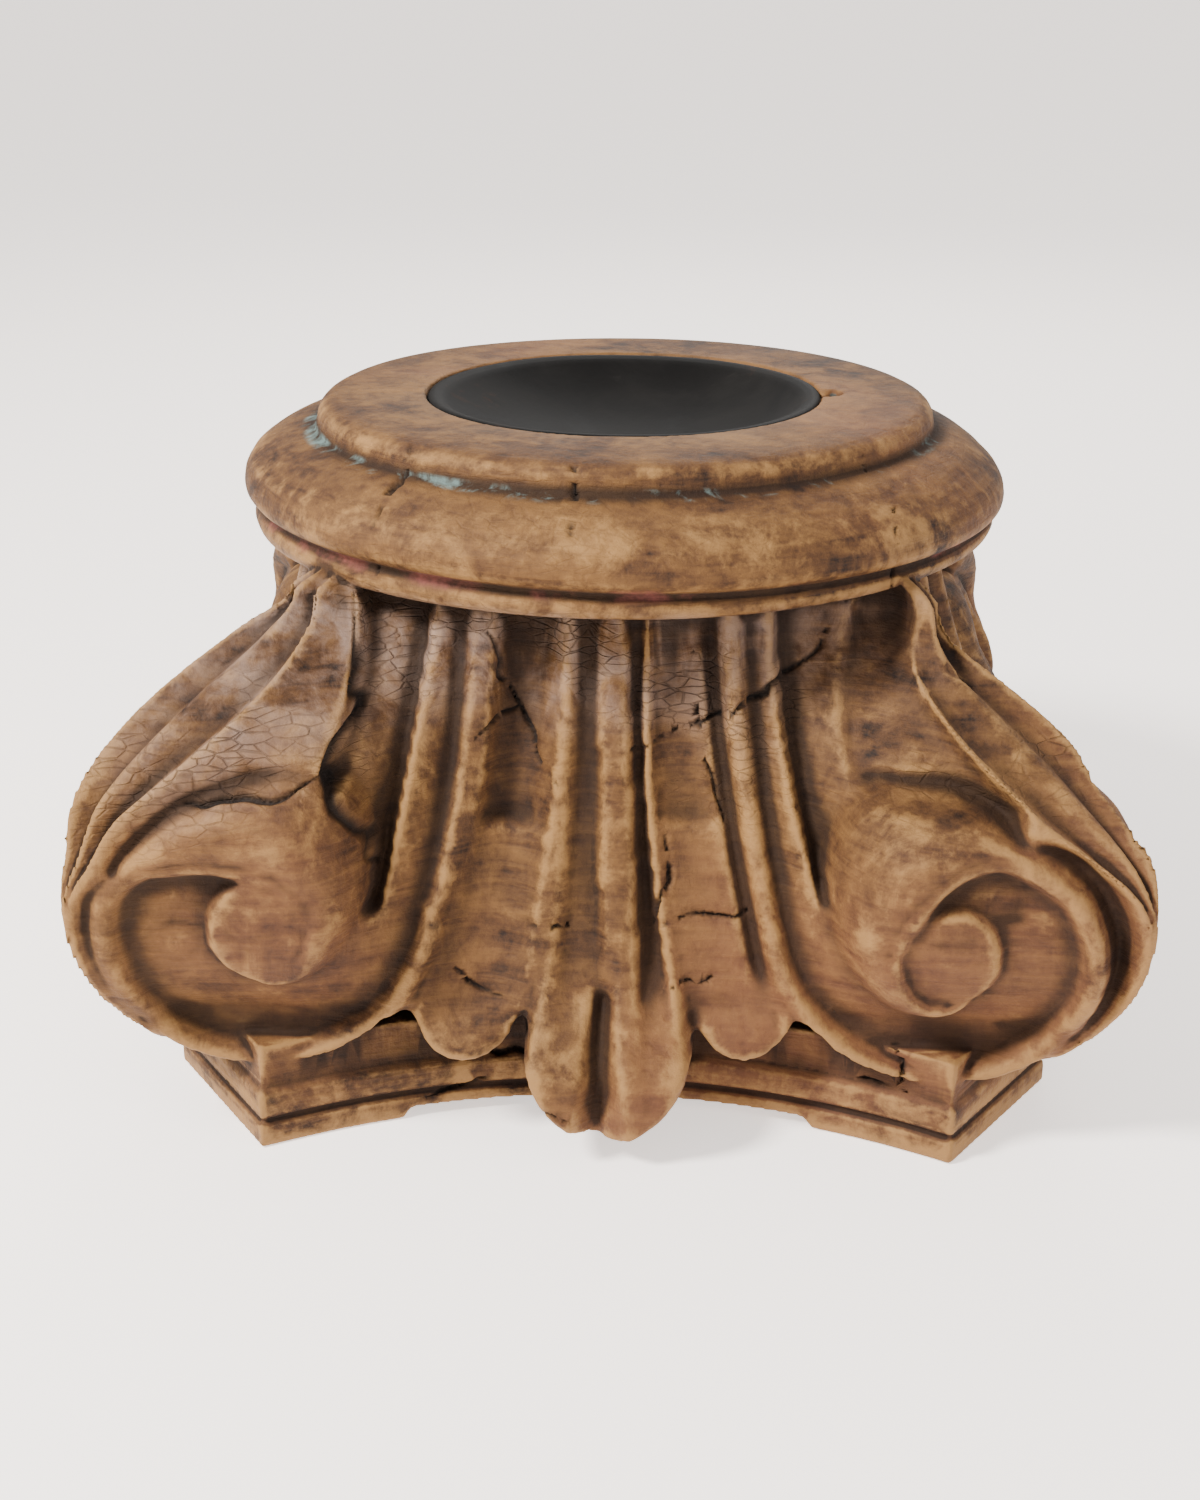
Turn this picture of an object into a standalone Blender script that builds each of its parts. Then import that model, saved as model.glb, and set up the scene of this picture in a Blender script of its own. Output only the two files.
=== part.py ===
"""Carved wooden column base with corner volutes, a round top moulding and a sunken metal dish.

Metres, +Z up, standing on its underside with the origin at the centre of the bottom.
The four faces look along -Y, +X, +Y and -X, and each corner carries a pair of volutes.
"""
import math

import bmesh
import bpy

# Heights above the floor
HEIGHT = 0.247
PLINTH_TOP = 0.040
HORN_SEAT = 0.004
HORN_FOOT = PLINTH_TOP - HORN_SEAT
HORN_WIDEST = 0.105
MOULDING_HEIGHT = 0.0508
MOULDING_FOOT = HEIGHT - MOULDING_HEIGHT
STEM_REVEAL = 0.0032
STEM_TOP = MOULDING_FOOT - STEM_REVEAL
HORN_TUCK = 0.0088
HORN_CLOSE = MOULDING_FOOT + HORN_TUCK
LEDGE_Z = 0.118
LEAF_TIP_Z = 0.0075

# Stand-off of the carved faces from the axis
FACE_WIDEST = 0.1935
FACE_AT_STEM = 0.125
FACE_AT_FOOT = 0.165
FACE_LOWEST = 0.178
BELL_LIP_TOP = 0.124
BELL_LIP_FOOT = 0.174
BELL_LIP_DROP = 0.005
BELL_TURN_X = 0.045
BELL_TURN_WIDTH = 0.070
EYE_SETBACK = 0.004

# Corner band between the two faces that meet at a corner
EDGE_AT_STEM = 0.110
EDGE_START_DROP = 0.007
EDGE_END_DROP = 0.011
TOP_TAPER = 0.16
CORNER_EASE = 0.003
BAND_TROUGH = 0.0085
BAND_RIB_DROP = 0.0015

# Volute, measured in elevation about the centre of its eye
EYE_X = 0.124
EYE_Z = 0.0855
EYE_HALF_WIDTH = 0.0175
EYE_HALF_HEIGHT = 0.0205
EYE_RISE = 0.0080
RIM_RADIUS = 0.0550
RIM_ENTRY = 0.066
RIM_END = 0.0235
CHANNEL_ENTRY = 0.042
CHANNEL_FOOT = 0.022
CHANNEL_DEPTH = 0.0085
FILLET_WIDTH = 0.0062
LOBE_RADIUS = 0.0535
LOBE_PEAK = 0.060
LOBE_END = 0.026
LOBE_RISE = 0.0015
RIBBON_BODY = 0.024

# Ribbon that drops from the bell into the volute
RIBBON_INNER_X = 0.044
RIBBON_OUTER_X = 0.0635
RIBBON_INNER_FLARE = 0.0135
RIBBON_OUTER_FLARE = 0.014
RIBBON_TURN_RADIUS = 0.062

# Stem above the volute and the sunk field beside it
STEM_INNER_X = 0.090
STEM_WAIST_SHARE = 0.74
HORN_INNER_X = 0.050
FLARE_SHARE = 0.95
FLARE_HEIGHT = FLARE_SHARE * (STEM_TOP - EYE_Z)
FIELD_DEPTH = 0.020
STEM_DISH = 0.0045

# Central leaf and the tongues beside it
LEAF_HALF_TOP = 0.0155
LEAF_HALF_FOOT = 0.0325
LEAF_WIDEST_Z = 0.040
LEAF_OUT = 0.191
LEAF_GROOVE = 0.011
TONGUE_TUCK = 0.0012
TONGUE_FOOT_Z = 0.0315
TONGUE_FOOT_X = 0.0525
TONGUE_HALF = 0.0205
TONGUE_SCOOP = 0.0045
TONGUE_BODY = 0.020
TONGUE_SINK = 0.0052

# Bell, plinth and moulding
BELL_TOP_RADIUS = 0.120
BELL_FOOT_RADIUS = 0.150
PLINTH_MID = 0.148
PLINTH_HORN_X = 0.127
PLINTH_HORN_Y = 0.184
PLINTH_FLANK_MID = 0.141
PLINTH_FLANK_SPAN = 0.120
PLINTH_FLANK_OUT = 0.172
FASCIA_TOP = 0.0095
OVOLO_TOP = 0.023
PLINTH_STEP = 0.003
FOOT_INNER_X = 0.079
FOOT_RELIEF = 0.0045
FOOT_RELIEF_DEPTH = 0.030
BEAD_RADIUS = 0.1512
RIM_MAX_RADIUS = 0.1551
RIM_RISE = 0.0175
RIM_MAX_Z = MOULDING_FOOT + RIM_RISE
DISC_RADIUS = 0.1244
DISC_SHOULDER = 0.0055
DISC_HEIGHT = 0.0108
GROOVE_Z = HEIGHT - DISC_HEIGHT

# Metal dish sunk in the top
DISH_RADIUS = 0.0800
DISH_FLANGE = 0.0062
DISH_SINK = 0.0014
DISH_DEPTH = 0.0235
DISH_WALL = 0.0015
CLEARANCE = 0.0003

# Hand-carved unevenness of the front face
VOLUTE_DROP = 0.0055
CENTRE_SHIFT = 0.0035
LOBE_LEAN = 0.013
LEAN_START_Z = 0.080
LEAN_HEIGHT = 0.050
LEAN_SPAN = 0.036
LEAN_INSIDE = 0.110
UNEVEN_START_Y = 0.040
UNEVEN_WIDTH = 0.060
UNEVEN_FADE = 0.034
UNEVEN_REACH = 0.080
UNEVEN_MIDDLE = 0.050

# Facets
ROUND_SEGMENTS = 40
EYE_SEGMENTS = 16
CURL_STEPS = 18
LOBE_STEPS = 13
PLINTH_STEPS = 12
WOOD_FACETS = 8500


def ease(t):
    """Smooth step from 0 to 1."""
    t = min(1.0, max(0.0, t))
    return t * t * (3.0 - 2.0 * t)


def mix(a, b, t):
    return a + (b - a) * t


def face_out(z):
    """Stand-off of a carved face along its corner edge."""
    if z >= HORN_WIDEST:
        t = min(1.0, (z - HORN_WIDEST) / (STEM_TOP - HORN_WIDEST))
        out = mix(FACE_WIDEST, FACE_AT_STEM, ease(t ** 1.55))
        past = max(0.0, (z - STEM_TOP) / (HORN_CLOSE - STEM_TOP))
        return out * (1.0 - TOP_TAPER * past * past)
    t = (HORN_WIDEST - z) / (HORN_WIDEST - HORN_FOOT)
    return FACE_WIDEST - (FACE_WIDEST - FACE_AT_FOOT) * max(0.0, t) ** 1.9


def edge_x(z):
    """Sideways reach of the corner edge of a face."""
    low = FACE_WIDEST - CORNER_EASE
    start = HORN_WIDEST - EDGE_START_DROP
    t = min(1.0, max(0.0, (z - start) / (STEM_TOP - EDGE_END_DROP - start)))
    past = max(0.0, (z - STEM_TOP) / (HORN_CLOSE - STEM_TOP))
    x = mix(low, EDGE_AT_STEM, ease(t ** 1.05)) * (1.0 - TOP_TAPER * past * past)
    return min(x, face_out(z) - CORNER_EASE)


def bell_out(z):
    """Stand-off of the fillets in the middle of a face."""
    t = (HORN_CLOSE - BELL_LIP_DROP - z) / (HORN_CLOSE - PLINTH_TOP)
    return mix(BELL_LIP_TOP, BELL_LIP_FOOT, min(1.0, max(-0.1, t)))


def face_y(x, z):
    """Stand-off of the carved face at a point of its elevation."""
    side = ease((abs(x) - BELL_TURN_X) / BELL_TURN_WIDTH)
    reach = max(face_out(z), FACE_LOWEST if z < HORN_WIDEST else 0.0)
    back = EYE_SETBACK * min(1.0, max(0.0, (0.185 - abs(x)) / 0.061))
    return mix(bell_out(z), reach - back, side)


def new_object(name, bm):
    bm.normal_update()
    bmesh.ops.recalc_face_normals(bm, faces=bm.faces[:])
    bmesh.ops.triangulate(bm, faces=bm.faces[:])
    mesh = bpy.data.meshes.new(name)
    bm.to_mesh(mesh)
    bm.free()
    body = bpy.data.objects.new(name, mesh)
    bpy.context.collection.objects.link(body)
    return body


def loft(name, rings, start=None, end=None):
    """Closed body through rings of equal length, capped flat or by a point."""
    bm = bmesh.new()
    loops = [[bm.verts.new(point) for point in ring] for ring in rings]
    count = len(loops[0])
    for low, high in zip(loops[:-1], loops[1:]):
        for i in range(count):
            j = (i + 1) % count
            bm.faces.new((low[i], low[j], high[j], high[i]))
    for loop, tip in ((loops[0], start), (loops[-1], end)):
        if tip is None:
            bm.faces.new(loop)
            continue
        apex = bm.verts.new(tip)
        for i in range(count):
            bm.faces.new((loop[i], loop[(i + 1) % count], apex))
    return new_object(name, bm)


def revolve(name, profile, segments):
    """Body of revolution; the first and last points of the profile lie on the axis."""
    angles = [2.0 * math.pi * (i + 0.37) / segments for i in range(segments)]
    rings = [[(r * math.cos(a), r * math.sin(a), z) for a in angles] for r, z in profile[1:-1]]
    return loft(name, rings, (0.0, 0.0, profile[0][1]), (0.0, 0.0, profile[-1][1]))


def face_point(side, x, z, sink):
    """A point of the front face; side is -1 or 1, sink is measured into the wood."""
    return (side * x, -(face_y(x, z) - sink), z)


def horn_section(z):
    """Half of the plan section of a corner, from the inside out to the diagonal."""
    out = face_out(z)
    edge = edge_x(z)
    core = RIM_RADIUS - 0.004
    fall = EYE_Z - z
    round_in = EYE_X - math.sqrt(max(1e-6, core * core - fall * fall))
    inner = HORN_INNER_X
    if z < EYE_Z + 0.015:
        inner = mix(round_in, HORN_INNER_X, ease((z - EYE_Z + 0.003) / 0.015))
    rise = (z - HORN_WIDEST) / (STEM_TOP - HORN_WIDEST)
    stem = STEM_INNER_X + 0.006 * min(1.1, abs(rise - STEM_WAIST_SHARE) / 0.307) ** 2
    stem = max(min(stem, edge - 0.014), inner + 0.006)
    open_stem = ease((rise - 0.239) / 0.273)
    field = mix(0.013, FIELD_DEPTH, ease((rise - 0.261) / 0.250))
    shoulder = mix(0.013, STEM_DISH * 0.8, open_stem)
    hollow = mix(0.012, STEM_DISH, open_stem)
    band = 0.005 + 0.005 * math.exp(-((rise - 0.261) / 0.227) ** 2)
    groove = max(min(edge - band - 0.0035, out - hollow - 0.002), stem + 0.004)
    points = [
        (inner, face_y(inner, z) - 0.013),
        (stem - 0.004, face_y(stem, z) - field),
        (stem, face_y(stem, z) - shoulder),
        (groove, out - hollow),
        (max(edge - band, groove + 0.002), out - 0.0012),
        (edge, out),
    ]
    middle = (edge + out) / 2.0
    half = (out - edge) / 2.0
    depth = BAND_TROUGH * min(1.0, half / 0.012)
    swell = 0.0008 * max(0.0, 1.0 - half / 0.006)
    for share, drop in ((0.50, depth), (0.24, mix(depth, BAND_RIB_DROP, 0.62))):
        push = (swell - drop * (half > 0.0035)) / math.sqrt(2.0)
        points.append((middle - half * share + push, middle + half * share + push))
    rib = BAND_RIB_DROP * min(1.0, half / 0.006) * (half > 0.0035)
    crest = middle + (swell * 1.4 - rib) / math.sqrt(2.0)
    return points, crest


def horn_solid(name):
    """Corner body under a pair of volutes, for the corner at -X -Y."""
    heights = [mix(HORN_FOOT, HORN_WIDEST, share) for share in (0.0, 0.145, 0.377, 0.681)]
    shares = (0.0, 0.17, 0.32, 0.455, 0.58, 0.716, 0.864, 1.0)
    heights += [mix(HORN_WIDEST, STEM_TOP, share) for share in shares]
    heights.append(HORN_CLOSE)
    rings = []
    for z in heights:
        half, crest = horn_section(z)
        plan = half + [(crest, crest)] + [(y, x) for x, y in reversed(half)] + [(0.040, 0.040)]
        rings.append([(-x, -y, z) for x, y in plan])
    return loft(name, rings)


def rim_radius(angle):
    """Radius of the ribbon's outer edge about the eye; the angle is in degrees."""
    if angle < -100.0:
        return mix(RIM_RADIUS - 0.0015, RIM_ENTRY, ((-100.0 - angle) / 80.0) ** 0.8)
    if angle < 20.0:
        return mix(RIM_RADIUS - 0.0015, RIM_RADIUS + 0.0015, (angle + 100.0) / 120.0)
    return mix(RIM_RADIUS + 0.0015, RIM_END, (angle - 20.0) / 135.0)


def eye_radius(angle, margin=0.0):
    a = math.radians(angle)
    wide = EYE_HALF_WIDTH + margin
    high = EYE_HALF_HEIGHT + margin
    return wide * high / math.hypot(high * math.cos(a), wide * math.sin(a))


def channel_radius(angle):
    """Radius of the ribbon's inner edge about the eye."""
    close = eye_radius(angle, 0.0008)
    if angle < -60.0:
        return max(close, mix(CHANNEL_FOOT, CHANNEL_ENTRY, ((-60.0 - angle) / 121.0) ** 1.3))
    return close


def lobe_radius(angle):
    """Radius of the lobe's outer edge about the eye."""
    if angle < 117.0:
        return mix(LOBE_RADIUS, LOBE_PEAK, ease((angle - 75.0) / 42.0))
    return mix(LOBE_END, LOBE_PEAK, max(0.0, (266.0 - angle) / 149.0) ** 1.6)


def about_eye(radius, angle):
    a = math.radians(angle)
    return EYE_X + radius * math.cos(a), EYE_Z + radius * math.sin(a)


def ribbon_solid(name, side):
    """Ribbon with its raised fillet, down the bell and round the eye to its end."""
    stations = []
    for z in [HORN_CLOSE] + [mix(EYE_Z, STEM_TOP, share) for share in (0.786, 0.507, 0.284)]:
        drop_in = max(0.0, STEM_TOP - z) / FLARE_HEIGHT
        drop_out = max(0.0, STEM_TOP + 0.005 - z) / FLARE_HEIGHT
        inner = RIBBON_INNER_X + RIBBON_INNER_FLARE * drop_in ** 1.5
        outer = RIBBON_OUTER_X + RIBBON_OUTER_FLARE * drop_out ** 1.6
        stations.append(((outer, z), (inner, z), 0.0, 1.0))
    for i in range(CURL_STEPS + 1):
        angle = mix(-183.0, 150.0, i / CURL_STEPS)
        curl = ease((angle + 183.0) / 60.0)
        lip = 1.0 - ease((angle - 30.0) / 40.0)
        low = about_eye(channel_radius(angle), angle)
        high = about_eye(max(rim_radius(angle), channel_radius(angle) + 0.0015), angle)
        stations.append((low, high, curl, lip))
    rings = []
    for (ax, az), (bx, bz), curl, lip in stations:
        width = math.hypot(bx - ax, bz - az)
        fillet = min(0.34, FILLET_WIDTH / width)
        foot = mix(0.0045, CHANNEL_DEPTH + 0.001, curl)
        floor = mix(0.0075, CHANNEL_DEPTH, curl)
        rim = mix(floor + 0.0015, 0.0, lip)
        cross = [
            (0.0, RIBBON_BODY),
            (0.0, foot),
            (0.40, floor),
            (1.0 - fillet * 1.35, mix(floor, floor * 0.80, lip)),
            (1.0 - fillet * 0.72, mix(floor, rim, lip)),
            (1.0 - fillet * 0.25, rim),
            (1.0, rim + 0.003),
            (1.0, RIBBON_BODY),
        ]
        ring = []
        for share, sink in cross:
            x, z = mix(ax, bx, share), mix(az, bz, share)
            ring.append(face_point(side, x, z, sink))
        rings.append(ring)
    return loft(name, rings)


def lobe_solid(name, side):
    """Smooth crescent lobe over the top and inner side of the eye."""
    rings = []
    for i in range(LOBE_STEPS + 1):
        t = i / LOBE_STEPS
        angle = mix(40.0, 262.0, t)
        near = eye_radius(angle, 0.0004)
        inner = mix(rim_radius(min(angle, 154.0)), near, ease((angle - 120.0) / 40.0))
        inner = max(inner, near)
        outer = max(lobe_radius(angle), inner + 0.002)
        full = min(1.0, (outer - inner) / 0.012)
        cross = [
            (1.0, RIBBON_BODY),
            (1.0, 0.0085),
            (0.86, 0.0035),
            (0.50, mix(0.004, -LOBE_RISE, full)),
            (0.14, mix(0.004, 0.0005, full)),
            (0.0, 0.0035),
            (0.0, RIBBON_BODY),
        ]
        ring = []
        for share, sink in cross:
            x, z = about_eye(mix(inner, outer, share), angle)
            ring.append(face_point(side, x, z, sink))
        rings.append(ring)
    return loft(name, rings)


def eye_solid(name, side):
    """Low domed disc at the centre of a volute."""
    rings = []
    top = CHANNEL_DEPTH - EYE_RISE
    for share, sink in ((1.0, RIBBON_BODY), (1.0, top + 0.0022), (0.90, top)):
        ring = []
        for i in range(EYE_SEGMENTS):
            angle = 360.0 * i / EYE_SEGMENTS
            x, z = about_eye(eye_radius(angle) * share, angle)
            ring.append(face_point(side, x, z, sink))
        rings.append(ring)
    tip = face_point(side, EYE_X, EYE_Z, CHANNEL_DEPTH - EYE_RISE - 0.0012)
    return loft(name, rings, None, tip)


def leaf_half_width(z):
    """Half width of the central leaf down to its widest place, then round to the tip."""
    if z >= LEAF_WIDEST_Z:
        t = (LEDGE_Z + 0.012 - z) / (LEDGE_Z + 0.012 - LEAF_WIDEST_Z)
        return mix(LEAF_HALF_TOP, LEAF_HALF_FOOT, max(0.0, t) ** 1.7)
    t = (LEAF_WIDEST_Z - z) / (LEAF_WIDEST_Z - LEAF_TIP_Z)
    return LEAF_HALF_FOOT * math.sqrt(max(0.012, 1.0 - t ** 1.6))


def leaf_out(z):
    t = ease((0.080 - z) / 0.050)
    curl = 0.003 * max(0.0, (0.022 - z) / 0.0145) ** 2
    return mix(bell_out(z), LEAF_OUT, t) - curl


def leaf_solid(name):
    """Central leaf with a rib on either side of a groove, curling out over the plinth."""
    rings = []
    heights = [HORN_CLOSE]
    shares = (0.817, 0.588, 0.425, 0.294, 0.176, 0.078, 0.0)
    heights += [mix(LEAF_WIDEST_Z, STEM_TOP, share) for share in shares]
    heights += [mix(LEAF_WIDEST_Z, LEAF_TIP_Z, share) for share in (0.338, 0.646, 0.877, 1.0)]
    for z in heights:
        half = leaf_half_width(z)
        out = leaf_out(z)
        slim = min(1.0, half / 0.014)
        groove = LEAF_GROOVE * mix(0.45, 1.0, ease((0.090 - z) / 0.045)) * ease((z - 0.004) / 0.012) * slim
        cross = [
            (-1.0, 0.004 * slim),
            (-0.86, 0.0005),
            (-0.50, -0.0012 * slim),
            (-0.14, groove * 0.55),
            (0.0, groove),
            (0.14, groove * 0.55),
            (0.50, -0.0012 * slim),
            (0.86, 0.0005),
            (1.0, 0.004 * slim),
        ]
        ring = [(half * share, -(out - sink), z) for share, sink in cross]
        root = 0.100 if z > PLINTH_TOP else 0.140
        ring += [(half, -root, z), (-half, -root, z)]
        rings.append(ring)
    return loft(name, rings)


def tongue_edges(z):
    """Inner and outer sides of a tongue in elevation, tucked under leaf and ribbon."""
    drop = max(0.0, STEM_TOP - z) / FLARE_HEIGHT
    fall = EYE_Z - z
    bend = RIBBON_TURN_RADIUS
    inner = leaf_half_width(max(z, LEAF_WIDEST_Z)) - TONGUE_TUCK
    outer = RIBBON_INNER_X + RIBBON_INNER_FLARE * drop ** 1.5
    if fall > 0.0:
        outer = max(outer, EYE_X - math.sqrt(bend * bend - min(fall, bend * 0.9) ** 2))
    outer += TONGUE_TUCK
    if z < TONGUE_FOOT_Z + TONGUE_HALF:
        t = (TONGUE_FOOT_Z + TONGUE_HALF - z) / TONGUE_HALF
        bow = TONGUE_HALF * math.sqrt(max(0.02, 1.0 - t ** 2.6))
        inner = max(inner, TONGUE_FOOT_X - bow)
        outer = min(outer, TONGUE_FOOT_X + bow)
    return inner, outer


def tongue_solid(name, side):
    """Scooped tongue below the ledge of a flute, its foot curling out."""
    rings = []
    shares = (1.0, 0.792, 0.595, 0.410, 0.249, 0.133, 0.052, 0.0)
    for z in [mix(TONGUE_FOOT_Z, LEDGE_Z, share) for share in shares]:
        inner, outer = tongue_edges(z)
        curl = ease((0.056 - z) / 0.022)
        edge = mix(TONGUE_SINK, 0.0022, curl)
        scoop = edge + mix(TONGUE_SCOOP * ease((LEDGE_Z + 0.030 - z) / 0.060), -0.0008, curl)
        ring = []
        rim = edge + 0.0015
        for share, sink in ((0.0, rim), (0.12, edge), (0.5, scoop), (0.88, edge), (1.0, rim)):
            x = mix(inner, outer, share)
            ring.append((side * x, -(bell_out(z) - sink), z))
        ring.append((side * outer, -(bell_out(z) - edge - TONGUE_BODY), z))
        ring.append((side * inner, -(bell_out(z) - edge - TONGUE_BODY), z))
        rings.append(ring)
    return loft(name, rings)


def bell_solid(name):
    profile = [(0.0, 0.030)]
    for i in range(4):
        z = mix(0.030, HORN_CLOSE, i / 3.0)
        t = (HORN_CLOSE - z) / (HORN_CLOSE - PLINTH_TOP)
        profile.append((mix(BELL_TOP_RADIUS, BELL_FOOT_RADIUS, min(1.0, t) ** 0.9), z))
    profile.append((0.0, HORN_CLOSE))
    return revolve(name, profile, ROUND_SEGMENTS)


def plinth_outline(inset, steps):
    """Plan of the plinth with hollow sides and cut corners, drawn in by the inset."""
    front = (PLINTH_MID, PLINTH_HORN_X, PLINTH_HORN_Y)
    flank = (PLINTH_FLANK_MID, PLINTH_FLANK_SPAN, PLINTH_FLANK_OUT)
    outline = []
    for turn in range(4):
        middle, span, out = (front, flank)[turn % 2]
        c, s = ((1, 0), (0, 1), (-1, 0), (0, -1))[turn]
        for i in range(-steps // 2, steps // 2 + 1):
            share = 2.0 * i / steps
            x = share * (span - inset * 0.6)
            y = inset - mix(middle, out, share * share)
            outline.append((c * x - s * y, s * x + c * y))
    return outline


def plinth_solid(name):
    levels = (
        (0.0, 0.0),
        (FASCIA_TOP, 0.0),
        (FASCIA_TOP + 0.0015, PLINTH_STEP),
        (FASCIA_TOP + 0.0035, PLINTH_STEP * 0.1),
        (mix(FASCIA_TOP, OVOLO_TOP, 0.75), PLINTH_STEP * 0.2),
        (OVOLO_TOP, PLINTH_STEP * 1.1),
        (PLINTH_TOP, PLINTH_STEP * 1.3),
    )
    rings = [[(x, y, z) for x, y in plinth_outline(inset, PLINTH_STEPS)] for z, inset in levels]
    return loft(name, rings)


def relief_wedge(name, middle, out):
    """Wedge that lifts the worn lower edge of one side between two corner feet."""
    near = middle - FOOT_RELIEF_DEPTH
    far = out + 0.02
    rise = FOOT_RELIEF * (far - near) / FOOT_RELIEF_DEPTH
    rings = []
    for x in (-FOOT_INNER_X, -FOOT_INNER_X + 0.004, FOOT_INNER_X - 0.004, FOOT_INNER_X):
        lift = rise if abs(x) < FOOT_INNER_X - 0.001 else rise * 0.35
        rings.append([(x, -near, -0.002), (x, -far, -0.002), (x, -far, lift), (x, -near, 0.0)])
    return loft(name, rings)


def dish_under(share):
    """Height of the dish's underside at a share of the bowl's radius."""
    top = HEIGHT - DISH_SINK - DISH_WALL
    return top - (DISH_DEPTH - DISH_WALL) * (1.0 - share ** 2.3)


BOWL_SHARES = (1.0, 0.88, 0.67, 0.36)


def moulding_solid(name):
    profile = [
        (0.0, MOULDING_FOOT),
        (BEAD_RADIUS - 0.0075, MOULDING_FOOT),
        (BEAD_RADIUS - 0.0022, MOULDING_FOOT + 0.0018),
        (BEAD_RADIUS, MOULDING_FOOT + 0.0055),
        (BEAD_RADIUS - 0.0022, MOULDING_FOOT + 0.0100),
        (RIM_MAX_RADIUS - 0.0022, RIM_MAX_Z - 0.0052),
        (RIM_MAX_RADIUS, RIM_MAX_Z),
    ]
    for i in range(1, 4):
        t = i / 4.0
        r = mix(RIM_MAX_RADIUS, DISC_RADIUS + 0.0025, t ** 1.5)
        z = mix(RIM_MAX_Z, GROOVE_Z - 0.001, t ** 0.82)
        profile.append((r, z))
    profile += [
        (DISC_RADIUS + 0.0025, GROOVE_Z - 0.001),
        (DISC_RADIUS, GROOVE_Z + 0.0048),
        (DISC_RADIUS - DISC_SHOULDER * 0.5, HEIGHT - 0.0024),
        (DISC_RADIUS - DISC_SHOULDER * 1.8, HEIGHT),
        (0.0, HEIGHT),
    ]
    return revolve(name, profile, ROUND_SEGMENTS)


def recess_cutter(name):
    """Room for the dish in the top of the wood, a clearance wider all round."""
    bowl = DISH_RADIUS - DISH_FLANGE
    seat = HEIGHT - DISH_SINK - DISH_WALL - CLEARANCE
    top_ring = DISH_RADIUS + CLEARANCE
    profile = [(0.0, HEIGHT + 0.010), (top_ring, HEIGHT + 0.010), (top_ring, seat)]
    for share in BOWL_SHARES:
        profile.append((bowl * share, dish_under(share) - CLEARANCE * (1.0 + 0.5 * share)))
    profile.append((0.0, dish_under(0.0) - CLEARANCE))
    return revolve(name, profile, ROUND_SEGMENTS)


def dish_solid(name):
    """Thin hollow dish with a flat flange, spun from one sheet."""
    bowl = DISH_RADIUS - DISH_FLANGE
    top = HEIGHT - DISH_SINK
    profile = [(0.0, dish_under(0.0))]
    for share in reversed(BOWL_SHARES):
        profile.append((bowl * share, dish_under(share)))
    profile += [(DISH_RADIUS, top - DISH_WALL), (DISH_RADIUS, top)]
    for share in BOWL_SHARES:
        slope = (DISH_DEPTH - DISH_WALL) * 2.3 * share ** 1.3 / bowl
        lift = DISH_WALL * (math.hypot(1.0, slope) if share < 1.0 else 1.0)
        profile.append((bowl * share - (0.0004 if share == 1.0 else 0.0), dish_under(share) + lift))
    profile.append((0.0, dish_under(0.0) + DISH_WALL))
    return revolve(name, profile, ROUND_SEGMENTS)


def turned_copy(source, turn, name):
    """Copy of a body turned about the axis by a number of quarter turns."""
    copy = bpy.data.objects.new(name, source.data.copy())
    bpy.context.collection.objects.link(copy)
    c, s = ((1, 0), (0, 1), (-1, 0), (0, -1))[turn % 4]
    for vertex in copy.data.vertices:
        x, y, z = vertex.co
        vertex.co = (c * x - s * y, s * x + c * y, z)
    return copy


def combine(base, others, operation):
    """Boolean of one body with a set of others, taken into its mesh."""
    group = bpy.data.collections.new("cutters")
    bpy.context.scene.collection.children.link(group)
    for other in others:
        bpy.context.collection.objects.unlink(other)
        group.objects.link(other)
        other.display_type = "WIRE"
        other.hide_render = True
    modifier = base.modifiers.new("join", "BOOLEAN")
    modifier.operation = operation
    modifier.solver = "EXACT"
    modifier.operand_type = "COLLECTION"
    modifier.collection = group
    graph = bpy.context.evaluated_depsgraph_get()
    result = bpy.data.meshes.new_from_object(base.evaluated_get(graph))
    base.modifiers.clear()
    base.data = result
    for other in others:
        bpy.data.objects.remove(other, do_unlink=True)
    bpy.data.collections.remove(group)


def carve_unevenly(body):
    """Shift the front volutes and ribs by small smooth amounts, as the hand left them."""
    mesh = body.data
    for vertex in mesh.vertices:
        x, y, z = vertex.co
        front = ease((-y - UNEVEN_START_Y) / UNEVEN_WIDTH)
        fade_out = 1.0 - ease((z - STEM_TOP + UNEVEN_FADE) / UNEVEN_FADE)
        middle = ease((z - HORN_FOOT) / UNEVEN_FADE) * fade_out
        drop = VOLUTE_DROP * math.tanh(x / UNEVEN_REACH) * middle * front
        high = ease((z - PLINTH_TOP) / UNEVEN_START_Y)
        high *= 1.0 - ease((z - STEM_TOP) / (HORN_CLOSE - STEM_TOP))
        near = 1.0 - ease((abs(x) - UNEVEN_MIDDLE) / UNEVEN_WIDTH)
        vertex.co = (x - CENTRE_SHIFT * high * near * front, y, z - drop)


def lean_sides(body):
    """Let the upper part of the volutes lean back on the two flanks and at the rear."""
    for vertex in body.data.vertices:
        x, y, z = vertex.co
        high = ease((z - LEAN_START_Z) / LEAN_HEIGHT)
        high *= 1.0 - ease((z - STEM_TOP + LEAN_HEIGHT) / LEAN_HEIGHT)
        moved = [x, y]
        for axis, sign in ((0, 1), (0, -1), (1, 1)):
            out = sign * (x, y)[axis]
            across = abs((x, y)[1 - axis])
            near = ease((edge_x(z) - across) / LEAN_SPAN)
            moved[axis] -= sign * LOBE_LEAN * high * near * ease((out - LEAN_INSIDE) / LEAN_HEIGHT)
        vertex.co = (moved[0], moved[1], z)


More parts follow.
